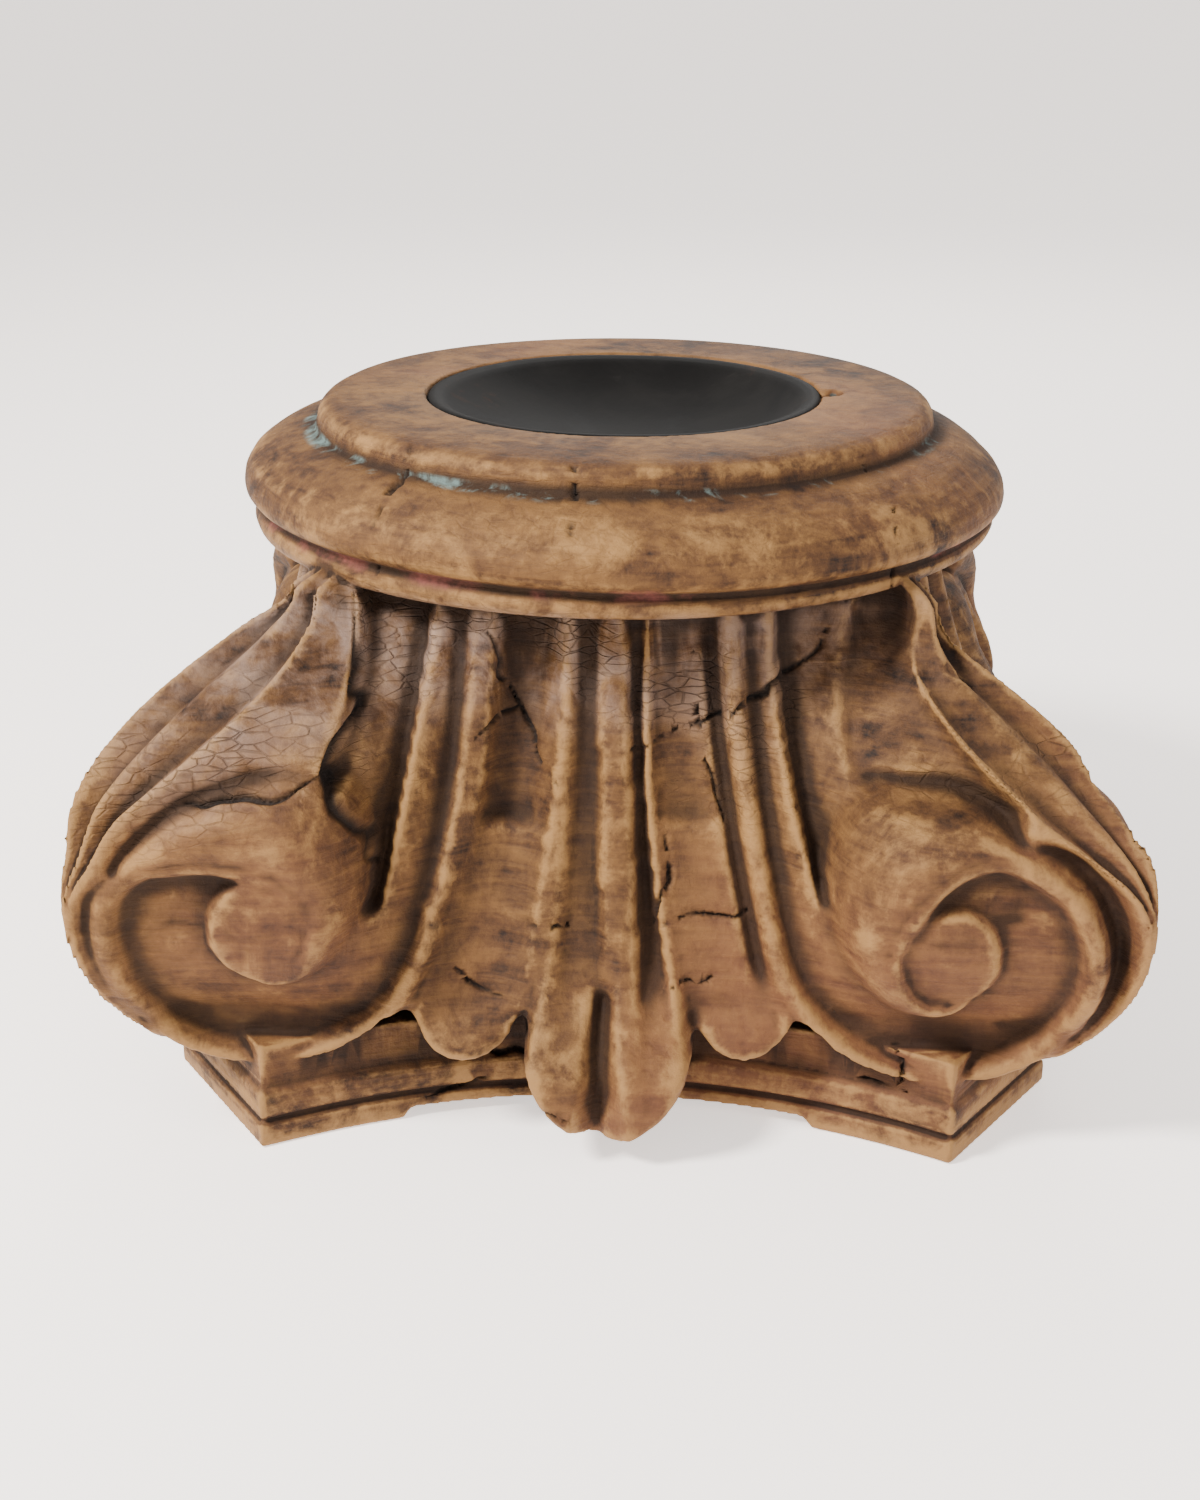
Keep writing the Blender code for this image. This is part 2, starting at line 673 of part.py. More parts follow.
def finish(body, color, roughness, metallic, angle):
    material = bpy.data.materials.new(body.name)
    material.use_nodes = True
    shader = material.node_tree.nodes["Principled BSDF"]
    shader.inputs["Base Color"].default_value = color
    shader.inputs["Roughness"].default_value = roughness
    shader.inputs["Metallic"].default_value = metallic
    body.data.materials.clear()
    body.data.materials.append(material)
    body.data.shade_smooth()
    body.data.set_sharp_from_angle(angle=math.radians(angle))


def simplify(body):
    """Collapse the short edges that the joins leave, down to the facet budget."""
    bm = bmesh.new()
    bm.from_mesh(body.data)
    bmesh.ops.triangulate(bm, faces=bm.faces[:])
    bm.to_mesh(body.data)
    count = len(bm.faces)
    bm.free()
    modifier = body.modifiers.new("collapse", "DECIMATE")
    modifier.ratio = min(1.0, WOOD_FACETS / count)
    modifier.use_collapse_triangulate = True
    graph = bpy.context.evaluated_depsgraph_get()
    result = bpy.data.meshes.new_from_object(body.evaluated_get(graph))
    body.modifiers.clear()
    body.data = result


def build_wood():
    face_parts = [leaf_solid("leaf")]
    for side in (-1, 1):
        face_parts.append(ribbon_solid("ribbon", side))
        face_parts.append(lobe_solid("lobe", side))
        face_parts.append(eye_solid("eye", side))
        face_parts.append(tongue_solid("tongue", side))
    face_parts.append(horn_solid("horn"))
    others = list(face_parts)
    for turn in (1, 2, 3):
        others += [turned_copy(part, turn, part.name) for part in face_parts]
    others += [bell_solid("bell"), moulding_solid("moulding")]
    body = plinth_solid("column_base_body")
    combine(body, others, "UNION")
    wedges = [relief_wedge("relief", PLINTH_MID, PLINTH_HORN_Y)]
    wedges.append(turned_copy(wedges[0], 2, "relief"))
    flank = relief_wedge("relief", PLINTH_FLANK_MID, PLINTH_FLANK_OUT)
    wedges += [turned_copy(flank, turn, "relief") for turn in (1, 3)]
    bpy.data.objects.remove(flank, do_unlink=True)
    combine(body, wedges, "DIFFERENCE")
    carve_unevenly(body)
    lean_sides(body)
    simplify(body)
    combine(body, [recess_cutter("recess")], "DIFFERENCE")
    return body


def main():
    for item in list(bpy.data.objects):
        bpy.data.objects.remove(item, do_unlink=True)
    body = build_wood()
    finish(body, (0.33, 0.19, 0.10, 1.0), 0.75, 0.0, 32.0)
    dish = dish_solid("top_dish")
    finish(dish, (0.045, 0.043, 0.040, 1.0), 0.35, 0.9, 40.0)


main()
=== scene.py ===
"""Weathered carved wooden column base with a sunken metal dish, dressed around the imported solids."""
import math
from itertools import product

import bmesh
import bpy
import numpy as np
from bpy.props import FloatProperty, FloatVectorProperty, IntProperty, PointerProperty
from mathutils import Matrix, Vector


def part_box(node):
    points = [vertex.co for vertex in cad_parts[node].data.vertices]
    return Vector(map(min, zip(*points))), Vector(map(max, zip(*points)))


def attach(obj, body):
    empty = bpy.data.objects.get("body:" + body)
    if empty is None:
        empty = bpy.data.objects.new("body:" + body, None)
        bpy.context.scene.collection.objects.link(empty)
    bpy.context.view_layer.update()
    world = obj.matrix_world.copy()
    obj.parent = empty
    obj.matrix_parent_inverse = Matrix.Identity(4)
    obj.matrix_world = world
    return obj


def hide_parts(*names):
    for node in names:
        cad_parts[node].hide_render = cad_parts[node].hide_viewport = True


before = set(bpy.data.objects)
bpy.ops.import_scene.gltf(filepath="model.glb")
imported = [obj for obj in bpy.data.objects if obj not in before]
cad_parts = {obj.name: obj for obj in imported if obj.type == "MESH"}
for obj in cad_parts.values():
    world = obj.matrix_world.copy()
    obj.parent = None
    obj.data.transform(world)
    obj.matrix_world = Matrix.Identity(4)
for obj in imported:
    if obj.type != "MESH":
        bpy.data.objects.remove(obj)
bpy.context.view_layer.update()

bl_info = {
    "name": "Carved Column Base",
    "version": (1, 0, 0),
    "blender": (4, 5, 0),
    "location": "View3D > Sidebar > Column Base",
    "description": "Builds a weathered wooden column base with volutes and a sunken metal dish",
    "category": "Add Mesh",
}

MM = 0.001
BODY_NODE = "column_base_body"
DISH_NODE = "top_dish"
BOX_INSET = 0.0001
BODY_BOX = [[float(v) for v in corner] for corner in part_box(BODY_NODE)]


def length_field(name, description, default):
    return FloatProperty(
        name=name, description=description, default=default, min=0.0, subtype="DISTANCE", unit="LENGTH"
    )


def colour_field(name, description, default):
    return FloatVectorProperty(
        name=name, description=description, default=default, size=3, min=0.0, max=1.0, subtype="COLOR"
    )


class ColumnBaseSizes(bpy.types.PropertyGroup):
    """Sizes of the carved wood and of the dish."""

    height: length_field("Height", "Floor to the top ring", BODY_BOX[1][2])
    plinth_top: length_field("Plinth top", "Top of the plinth block", 0.040)
    rim_radius: length_field("Moulding radius", "Widest radius of the round moulding", 0.1551)
    channel_depth: length_field("Channel depth", "Depth of the volute's hollow channel", 0.0085)
    field_depth: length_field("Field depth", "Depth of the sunk field beside a stem", 0.0200)
    lobe_rise: length_field("Lobe rise", "Swell of the smooth lobe over the eye", 0.0030)
    crack_depth: length_field("Crack depth", "Depth of the drying cracks", 0.0030)
    dish_radius: length_field("Dish radius", "Outer radius of the metal dish", 0.0800)
    dish_depth: length_field("Dish depth", "Depth of the bowl below its flange", 0.0235)
    grid: length_field("Carving grid", "Finest step of the carving", 0.00125)
    coarse_grid: length_field("Quick grid", "Step of the carving for quick looks", 0.0021)
    wood_faces: IntProperty(
        name="Wood faces", description="Triangles kept on the wood", default=170000, min=20000
    )


class ColumnBaseColours(bpy.types.PropertyGroup):
    """Colours of the wood, the old paint, the metal and the floor."""

    # Ochre is the light tone of the wood; made paler on open edges, it stands for wear and for a painted
    # highlight
    ochre: colour_field("Ochre wood", "Worn light wood on edges", (0.155, 0.074, 0.022))
    brown: colour_field("Brown wood", "Middle tone of the wood", (0.062, 0.026, 0.0086))
    # Umber is the dark tone of the wood; darkened further, it is also the painted shade in the hollows
    umber: colour_field("Dark wood", "Dark wood in the hollows", (0.0105, 0.0043, 0.0022))
    red: colour_field("Red wood", "Patches of redder wood", (0.17, 0.062, 0.030))
    dust: colour_field("Pale bloom", "Grey violet bloom on the upper carving", (0.21, 0.155, 0.135))
    teal: colour_field("Teal paint", "Traces of old teal paint", (0.17, 0.26, 0.25))
    rose: colour_field("Rose paint", "Traces of old red paint", (0.36, 0.10, 0.085))
    metal: colour_field("Dark metal", "Paint on the dish", (0.0035, 0.0032, 0.003))
    scuff: colour_field("Scuffs", "Scuffed paint on the dish", (0.05, 0.046, 0.042))
    rust: colour_field("Rust", "Rust on the dish", (0.07, 0.030, 0.015))
    floor: colour_field("Floor", "Pale studio floor", (0.92, 0.86, 0.82))


def ease(t):
    t = np.clip(t, 0.0, 1.0)
    return t * t * (3.0 - 2.0 * t)


def mix(a, b, t):
    return a + (b - a) * t


def hill(distance, width):
    """Soft bump, 1 at no distance and near 0 beyond its width."""
    return np.exp(-((distance / width) ** 2))


def along(value, keys):
    """Smooth curve through a few (place, value) pairs."""
    places = np.array([k[0] for k in keys], float)
    values = np.array([k[1] for k in keys], float)
    offsets = (-0.10, 0.0, 0.10)
    span = np.mean(np.diff(places)) * 1.2
    return sum(np.interp(value + span * o, places, values) for o in offsets) / len(offsets)


def grain(points, scale, seed):
    """Smooth lattice noise in -1 to 1 at points of shape (n, 3)."""
    table = np.random.default_rng(seed).random((32, 32, 32)).astype(np.float32)
    spot = np.asarray(points, float) / np.asarray(scale, float)
    cell = np.floor(spot).astype(np.int64)
    part = ease(spot - cell)
    total = np.zeros(len(spot))
    for corner in product((0, 1), repeat=3):
        index = (cell + corner) % 32
        weight = np.prod(np.where(np.array(corner) == 1, part, 1.0 - part), axis=1)
        total += weight * table[index[:, 0], index[:, 1], index[:, 2]]
    return total * 2.0 - 1.0


def flat_grain(a, b, scale, seed):
    """Lattice noise over a map."""
    points = np.stack([a.ravel(), b.ravel(), np.full(a.size, 0.5)], 1)
    return grain(points, (scale[0], scale[1], 1.0), seed).reshape(a.shape)


def soften(values, rounds):
    """Blur a map with its neighbours."""
    for _ in range(rounds):
        padded = np.pad(values, 1, mode="edge")
        values = (padded[:-2, 1:-1] + 2.0 * padded[1:-1, 1:-1] + padded[2:, 1:-1]) / 4.0
        padded = np.pad(values, 1, mode="edge")
        values = (padded[1:-1, :-2] + 2.0 * padded[1:-1, 1:-1] + padded[1:-1, 2:]) / 4.0
    return values


# Carved faces, in millimetres: heights of the corner edge, and how far it stands out and sideways
STEM_TOP = 193.0
HORN_WIDEST = 105.0
HORN_FOOT = 36.0
HORN_CLOSE = 205.0
WIDEST_OUT, STEM_OUT = 193.3, 125.0
WIDEST_SIDE, STEM_SIDE = 190.3, 112.0
FOOT_TUCK = 26.0
CLOSE_TAPER = 0.16
FLANK_LEAN = 15.0
LEFT_LIFT = 8.0
RIGHT_LIFT = -5.0
# Bell and its flutes
BELL_HIGH = 200.0
BELL_TALL = 165.0
BELL_TOP_OUT, BELL_FOOT_OUT = 124.0, 174.0
LEDGE = 117.0
LEAF_FROM = 84.0
LEAF_FOOT = 7.0
LEAF_HALF = 32.5
# Volute eyes, and the stand-off of what a face cuts away
EYE_WIDE = 17.5
EYE_HIGH = 20.5
LOWERED = -260.0
CORE_OUT = 80.0

# Each volute: eye centre, ridge and lobe radii at angles in degrees from the outer side, upwards positive
OPEN_VOLUTE = {
    "across": 122.5,
    "high": 84.0,
    "ridge": ((-180, 67), (-150, 62.5), (-120, 59), (-90, 57.5), (-60, 58), (-30, 56), (0, 54), (30, 52),
              (50, 48.5), (68, 47), (86, 39.5), (106, 31.5), (125, 27), (150, 23.7), (180, 21.5)),
    "lobe": ((60, 48), (83, 51.4), (106, 55.2), (117, 59), (128, 58), (141, 53.7), (152, 51), (163, 45.4),
             (184, 39.6), (207, 35.3), (236, 31), (265, 27), (290, 22), (300, 18)),
    "lobe_start": 62.0,
    "lip": 3.2,
    "eye_sink": 2.4,
    "moat": 13.0,
    "moat_wide": 6.0,
    "stem_dish": 24.0,
    "stem_opens": 112.0,
    "stem_opening": 26.0,
    "scooped": True,
    "stem_in": 86.5,
    "stem_waist": 160.0,
}
CLOSED_VOLUTE = {
    "across": 124.5,
    "high": 90.0,
    "ridge": ((-180, 65), (-150, 62), (-120, 61), (-90, 61.5), (-60, 63), (-40, 61), (-15, 57.5), (15, 57),
              (30, 51.5), (36, 45), (51, 37.3), (68, 31), (89, 26), (118, 24.4), (139, 22.8), (165, 20.5),
              (180, 18)),
    "lobe": ((24, 53), (57, 53.8), (78, 52.5), (105, 56.9), (120, 57.6), (132, 54.1), (144, 49),
             (158, 42.6), (177, 36.6), (191, 31.5), (218, 27), (237, 25.5), (265, 23), (285, 20), (300, 18)),
    "lobe_start": 26.0,
    "lip": 0.0,
    "eye_sink": 0.8,
    "moat": 4.5,
    "moat_wide": 3.2,
    "stem_dish": 5.5,
    "stem_opens": 118.0,
    "stem_opening": 40.0,
    "scooped": False,
    "stem_in": 93.0,
    "stem_waist": 180.0,
}

# The same open volute with a shallower groove, for the faces at the sides and at the back
SHALLOW_VOLUTE = {**OPEN_VOLUTE, "moat": 4.0, "moat_wide": 3.2, "stem_dish": 15.0}

# Strands of a face from its middle outwards: place at the top, flare, power of the flare
LEFT_STRANDS = {
    "fillet": (45.0, 12.75, 2.16),
    "outer": (67.0, 17.0, 1.35),
    "leaf": (18.5, 8.5, 1.9),
    "rib": (6.0, -2.6, 1.0),
}
RIGHT_STRANDS = {
    "fillet": (39.0, 14.7, 1.54),
    "outer": (59.0, 21.0, 1.76),
    "leaf": (11.0, 6.0, 2.6),
    "rib": (6.0, 5.0, 1.0),
}


def strand(spec, z):
    """Distance of a strand from the middle of its face at a height."""
    drop = np.clip((STEM_TOP - z) / 102.0, 0.0, 1.5)
    return spec[0] + spec[1] * drop ** spec[2]


def closing(z):
    """Narrowing of the corner edge as it runs in under the moulding."""
    past = np.clip((z - STEM_TOP) / (HORN_CLOSE - STEM_TOP), 0.0, 1.0)
    return 1.0 - CLOSE_TAPER * past * past


def edge_out(z):
    """Stand-off of a carved face along its corner edge."""
    t = np.clip((z - HORN_WIDEST) / (STEM_TOP - HORN_WIDEST), 0.0, 1.0)
    high = mix(WIDEST_OUT, STEM_OUT, ease(t ** 1.62)) * closing(z)
    t = np.clip((HORN_WIDEST - z) / (HORN_WIDEST - HORN_FOOT), 0.0, 1.2)
    return np.where(z >= HORN_WIDEST, high, WIDEST_OUT - FOOT_TUCK * t ** 2.3)


def edge_reach(z):
    """Sideways reach of the corner edge of a face."""
    start = HORN_WIDEST - 7.0
    t = np.clip((z - start) / (STEM_TOP - 11.0 - start), 0.0, 1.0)
    reach = mix(WIDEST_SIDE, STEM_SIDE, ease(t ** 1.05)) * closing(z)
    return np.minimum(reach, edge_out(z) - 3.0)


def bell_out(z):
    """Stand-off of the fillets in the middle of a face."""
    t = np.clip((BELL_HIGH - z) / BELL_TALL, -0.1, 1.0)
    return mix(BELL_TOP_OUT, BELL_FOOT_OUT, t)


def raised(z, lift):
    """Height at which the even corner has the same outline as one whose stem sits higher or lower."""
    return z - lift * ease((z - 112.0) / 26.0) * (1.0 - ease((z - 182.0) / 22.0))


def face_base(p, z, level, lean):
    """Smooth surface that the carving of a face is cut from."""
    side = ease((np.abs(p) - 45.0) / 70.0)
    reach = np.maximum(edge_out(level), np.where(z < HORN_WIDEST, 178.0, 0.0))
    high = ease((z - 80.0) / 50.0) * (1.0 - ease((z - 150.0) / 43.0))
    back = 3.0 * ease((185.0 - np.abs(p)) / 61.0)
    back = back + lean * high * ease((edge_reach(level) - np.abs(p)) / 36.0)
    return mix(bell_out(z), reach - back, side)


def eye_edge(angle):
    """Radius of the oval eye at an angle."""
    a = np.radians(angle)
    return EYE_WIDE * EYE_HIGH / np.hypot(EYE_HIGH * np.cos(a), EYE_WIDE * np.sin(a))


def dome(r, near, far, rise):
    """Smooth swell between two radii, rolled off towards the far one."""
    t = np.clip((r - near) / np.maximum(far - near, 1.0), 0.0, 1.0)
    wide = ease((far - near) / 18.0)
    return wide * (rise * np.sin(np.pi * t ** 0.8)) - mix(2.0, 9.5, wide) * t ** 3.2


def stem_relief(q, z, level, spec, field):
    """Dished stem above a volute, with the sunk field beside it."""
    stem_in = spec["stem_in"] + 6.0 * ((z - spec["stem_waist"]) / 30.0) ** 2
    stem_in = np.minimum(stem_in, spec["stem_in"] + 12.0)
    share = np.clip((q - stem_in) / np.maximum(edge_reach(level) - stem_in, 4.0), 0.0, 1.0)
    open_stem = ease((z - spec["stem_opens"]) / spec["stem_opening"])
    if spec["scooped"]:
        brow = mix(4.0, spec["stem_dish"], open_stem)
        hollow = brow * np.cos(0.5 * np.pi * share ** 2.3) ** 0.7
    else:
        brow = 3.0
        hollow = mix(3.5, spec["stem_dish"], open_stem) * np.sin(np.pi * share ** 0.75) ** 0.8
        hollow = hollow + 3.0 * (1.0 - share) ** 2
    wall = np.clip((stem_in - q) / 4.0, 0.0, 1.0)
    beside = np.where(q > stem_in - 4.0, mix(-brow, -field, wall), -field)
    return np.where(q > stem_in, -hollow, beside)


def volute_relief(q, z, level, spec, strands, sizes):
    """Height of the outer half of a face over its base; q runs outwards from the middle."""
    across, high = q - spec["across"], z - spec["high"]
    r = np.hypot(across, high)
    angle = np.degrees(np.arctan2(high, across))
    channel = sizes.channel_depth / MM
    ridge = along(angle, spec["ridge"])
    lobe_high = along(angle, spec["lobe"])
    lobe_low = along(angle + 360.0, spec["lobe"])
    eye = eye_edge(angle)
    fillet = strand(strands["fillet"], z)
    outer = strand(strands["outer"], z)
    relief = stem_relief(q, z, level, spec, sizes.field_depth / MM)

    inside = q - fillet
    straight = (inside > 0.0) & (q < outer) & (z >= spec["high"]) & (across < 0.0)
    crown = -0.9 * np.clip((3.0 - inside) / 3.2, -1.0, 1.0) ** 2
    trough = -channel * ease(np.clip((inside - 5.2) / 6.0, 0.0, 1.0) * 1.15)
    swell = 2.2 * ease((inside - 10.0) / 9.0) * ease((z - spec["high"]) / 40.0)
    relief = np.where(straight, np.where(inside < 5.2, crown, trough + swell), relief)

    in_lobe = (r < lobe_high) & (angle > spec["lobe_start"]) & (r > ridge)
    rise = sizes.lobe_rise / MM
    relief = np.where(in_lobe, dome(r, ridge, lobe_high, rise), relief)

    # Ribbon round the volute and its hollow channel, from below the lobe to the top of the eye
    inner = np.where((angle < -60.0) | (angle > 175.0), np.maximum(lobe_low, eye), eye)
    inner = np.where(angle > 175.0, np.minimum(lobe_high, inner), inner)
    in_channel = (r < ridge) & (r >= eye)
    tail = in_channel & (angle < -60.0) & (r < lobe_low)
    t = np.clip((r - inner) / np.maximum(ridge - inner, 1.0), 0.0, 1.0)
    narrow = ease((ridge - inner) / 9.0)
    lip = np.clip((ridge - 5.2 - r) / 6.0, 0.0, 1.0)
    deep = channel * mix(0.35, 1.0, narrow)
    profile = -deep * ease(lip * 1.15) * (0.88 + 0.12 * np.sin(np.pi * t))
    profile = np.where(r > ridge - 5.2, -0.9 * np.clip((r - ridge + 3.2) / 3.2, -1.0, 1.0) ** 2, profile)
    relief = np.where(in_channel & ~tail, profile, relief)
    relief = np.where(tail, dome(r, eye, lobe_low, rise), relief)

    sunk = 0.6 * hill(r, 9.0) - spec["eye_sink"]
    eye_wall = np.clip((eye - r) / 1.5, 0.0, 1.0)
    relief = np.where(r < eye, sunk - (1.0 - eye_wall) * 0.8, relief)
    lip = spec["lip"] * (ease((angle - 95.0) / 30.0) + ease((-70.0 - angle) / 30.0))
    relief = relief + lip * 0.35 * hill(r - eye - 1.6, 2.6) * (r > eye)

    # Groove outside the ridge, deepest at the outer side
    beyond = (r >= ridge) & (angle > -75.0) & (angle < spec["lobe_start"] + 4.0)
    spread = ease((angle + 48.0) / 36.0) * (1.0 - ease((angle - spec["lobe_start"] + 22.0) / 30.0))
    width = spec["moat_wide"] * mix(0.45, 1.0, spread)
    moat = spec["moat"] * mix(0.10, 1.0, spread) * hill(r - ridge - width, width * 0.80)
    moat = moat * ease((edge_reach(level) - q) / 7.0)
    relief = np.where(beyond, -0.8 - moat, relief)
    # Crease where the stem runs down on to the lobe
    crease = (r >= lobe_high) & (angle > spec["lobe_start"]) & (angle < 120.0)
    relief = relief - np.where(crease, 4.5 * hill(r - lobe_high, 4.0), 0.0)

    # Below the volute nothing stands out but the corner that it grows from
    below = (r >= ridge) & (angle <= -40.0) & (z < spec["high"])
    corner = ease((q - 126.0) / 14.0)
    under = -2.5 - 26.0 * (1.0 - corner) - 14.0 * (1.0 - ease((z - 30.0) / 14.0))
    under = np.where((corner < 0.02) | (z < 28.0), LOWERED, np.minimum(relief, under))
    relief = np.where(below, under, relief)
    middle = (q < fillet) | ((r >= ridge) & (across < 0.0) & (z < spec["high"]))
    return relief, middle & ~straight


def middle_relief(p, z):
    """Height of the leaf, the flutes and the tongues in the middle of a face over the bell."""
    left = {name: -strand(spec, z) for name, spec in LEFT_STRANDS.items()}
    right = {name: strand(spec, z) for name, spec in RIGHT_STRANDS.items()}
    ledge = LEDGE + 1.8 * np.cos(p / 9.0) + np.where(p > 0.0, 2.0, 0.0)
    upper = ease((z - ledge + 1.0) / 2.0)
    low = ease((58.0 - z) / 20.0)

    def flute(start, end, deep_high, deep_low, skew):
        t = np.clip((p - start) / np.maximum(end - start, 1.0), 0.0, 1.0)
        bowl = np.sin(np.pi * t ** skew) ** 0.75
        shelf = 1.0 - ease((ledge - z) / 46.0)
        tongue = mix((deep_low + 2.0 * shelf) * (0.35 + 0.65 * bowl), 2.4 - 2.6 * bowl, low)
        return mix(-tongue, -deep_high * (0.35 + 0.65 * bowl), upper)

    def part_way(start, end):
        return (p >= start) & (p < end), np.clip((p - start) / np.maximum(end - start, 1.0), 0.0, 1.0)

    zone = (p > left["fillet"]) & (p < left["leaf"])
    scoop = flute(left["fillet"] + 3.0, left["leaf"] - 2.5, 12.0, 4.6, 1.0)
    relief = np.where(zone, scoop, 0.0)
    beside = np.abs(p - left["fillet"] - 1.0)
    relief = np.where(beside < 2.4, -0.6 * beside, relief)
    zone, t = part_way(left["leaf"], left["rib"])
    relief = np.where(zone, 0.6 - 5.2 * ease((t - 0.30) / 0.30) * (1.0 - low) - 1.5 * low * t, relief)
    relief = np.where(zone & (t < 0.30), 0.8 - 1.2 * (t / 0.30 - 0.5) ** 2, relief)
    zone, t = part_way(left["rib"], right["rib"])
    relief = np.where(zone, 2.4 * np.sin(np.pi * np.clip(t, 0.02, 0.98)) ** 0.7 - 0.8, relief)
    zone, t = part_way(right["rib"], right["leaf"])
    relief = np.where(zone, mix(-8.5, -3.0, low), relief)
    zone, t = part_way(right["leaf"], right["fillet"])
    scoop = flute(right["leaf"] + 1.5, right["fillet"] - 1.0, 10.0, 4.4, 0.9)
    relief = np.where(zone, scoop, relief)
    relief = np.where((np.abs(p - right["leaf"] - 1.2) < 1.5) & (z > 66.0), -1.6, relief)
    slit = hill(p - right["fillet"] + 3.6, 2.3) * (6.0 * ease((z - 56.0) / 16.0))
    return np.where(zone, relief - slit, relief)


def leaf_half(z):
    """Half width of the leaf's foot, closing to the tip."""
    t = np.clip((130.0 - z) / 90.0, 0.0, 1.0)
    wide = mix(15.5, LEAF_HALF, t ** 1.7)
    t = np.clip((40.0 - z) / LEAF_HALF, 0.0, 1.0)
    close = LEAF_HALF * np.sqrt(np.clip(1.0 - t ** 1.75, 0.0, 1.0))
    return np.where(z >= 40.0, wide, close)


def tongue_shape(p, z, centre):
    """Stand-off of the flutes with the two tongues that end them."""
    left = np.hypot((p + 52.5) / 21.5, (z - 52.0) / 21.0)
    right = np.hypot((p - 50.5) / 20.5, (z - 53.5) / 20.0)
    shape = bell_out(z) + centre + 2.0 * ease((58.0 - z) / 20.0)
    inside = np.minimum(np.maximum(1.0 - left, 1.0 - right), 0.25) / 0.25
    shape = np.where(z < 52.0, shape - 5.0 * np.clip(1.0 - inside, 0.0, 1.0) ** 2, shape)
    return np.where((z > 47.0) | (left < 1.0) | (right < 1.0), shape, CORE_OUT)


def leaf_shape(p, z, centre):
    """Stand-off of the leaf that curls out over the plinth, and where it is."""
    half = leaf_half(z)
    rise = ease((LEAF_FROM - z) / 50.0) * mix(6.0, 20.0, ease((70.0 - z) / 45.0))
    rise = rise * ease((half + 4.0 - np.abs(p)) / 8.0)
    off_edge = np.clip(1.0 - (half - np.abs(p - 0.8)) / 8.0, 0.0, 1.0)
    edge_round = 4.5 * off_edge ** 2 * ease((60.0 - z) / 20.0)
    tip = 1.5 * np.clip((14.0 - z) / 7.0, 0.0, 1.0) ** 2
    groove_at = mix(-2.0, -4.0, ease((80.0 - z) / 40.0))
    groove_wide = mix(2.5, 10.5, ease((72.0 - z) / 58.0))
    groove = np.clip(1.0 - np.abs(p - groove_at - 2.0) / groove_wide, 0.0, 1.0)
    groove = 12.0 * ease((LEAF_FROM - z) / 30.0) * groove
    nub = 4.0 * hill(p - 0.5, 3.2) * ease((30.0 - z) / 12.0)
    plain = centre * (1.0 - 0.6 * ease((72.0 - z) / 22.0))
    leaf = bell_out(z) + plain + rise - edge_round - tip - groove + nub
    return leaf, (np.abs(p - 0.8) < half) & (z > LEAF_FOOT)


def face_map(p, z, left_spec, right_spec, sizes, wander, lifts, shy=0.0):
    """Stand-off of a whole carved face over its elevation, in millimetres."""
    seed = 11 + int(wander * 7)
    p_s = p + 1.6 * flat_grain(p, z, (70.0, 60.0), seed) * wander
    z_s = z + 1.8 * flat_grain(p, z, (80.0, 55.0), seed + 1) * wander
    level = raised(z_s, mix(lifts[0], lifts[1], ease((p_s + 60.0) / 120.0)))
    base = face_base(p_s, z_s, level, FLANK_LEAN if wander else 0.0)
    out_left, mid_left = volute_relief(-p_s, z_s, level, left_spec, LEFT_STRANDS, sizes)
    out_right, mid_right = volute_relief(p_s, z_s, level, right_spec, RIGHT_STRANDS, sizes)
    in_middle = np.where(p_s < 0.0, mid_left, mid_right)
    surface = base + np.where(p_s < 0.0, out_left, out_right)

    centre = middle_relief(p_s, z_s)
    middle = tongue_shape(p_s, z_s, centre)
    leaf, in_leaf = leaf_shape(p_s, z_s, centre)
    middle = np.where(in_leaf & (z_s < LEAF_FROM), np.maximum(middle, leaf), middle)
    middle = np.where(in_leaf & (z_s < 58.0), leaf, middle)
    lowest = np.where(np.abs(p_s) < 75.0, 0.0, surface)
    surface = np.where(in_middle, middle, np.maximum(surface, lowest))
    surface = np.maximum(soften(surface, 2), CORE_OUT)
    surface = surface - abs(shy) * ease((p * np.sign(shy) - 20.0) / 110.0) * ease((z - 62.0) / 45.0)
    tool = 0.28 * flat_grain(p, z, (5.0, 4.0), seed + 3) + 0.45 * flat_grain(p, z, (17.0, 13.0), seed + 4)
    fibre = 0.16 * flat_grain(p, z, (9.0, 1.7), seed + 5)
    return surface + tool + fibre


def band_map(v, z, seed, lift):
    """Stand-off of a corner band along its diagonal."""
    level = raised(z, lift)
    out, reach = edge_out(level), edge_reach(level)
    crest = (out + reach) / math.sqrt(2.0)
    half = (out - reach) / math.sqrt(2.0)
    share = np.clip(np.abs(v) / np.maximum(half, 0.5), 0.0, 1.0)
    deep = 12.0 * np.clip(half / 12.0, 0.0, 1.0)
    rib = hill(share, 0.30)
    trough = np.sin(np.pi * share ** 0.85) ** 1.2
    sink = deep * trough * (1.0 - 0.75 * rib) + np.minimum(1.5, half * 0.2) * (1.0 - share) ** 2
    swell = 1.2 * np.clip(1.0 - half / 7.0, 0.0, 1.0) * (1.0 - share)
    rough = 0.35 * flat_grain(v, z, (9.0, 13.0), seed) + 0.22 * flat_grain(v, z, (2.6, 5.0), seed + 1)
    low = np.clip((33.0 - z) / 7.0, 0.0, 4.0)
    return crest - sink + swell + rough - 12.0 * low * low * ease((95.0 - np.abs(v)) / 20.0)


# Sides of the plinth as stand-off in the middle, stand-off at a corner and where that is reached
PLINTH_FRONT = (148.0, 184.0, 127.0)
PLINTH_SIDE = (142.0, 172.0, 123.0)
PLINTH_CORNER = 209.4


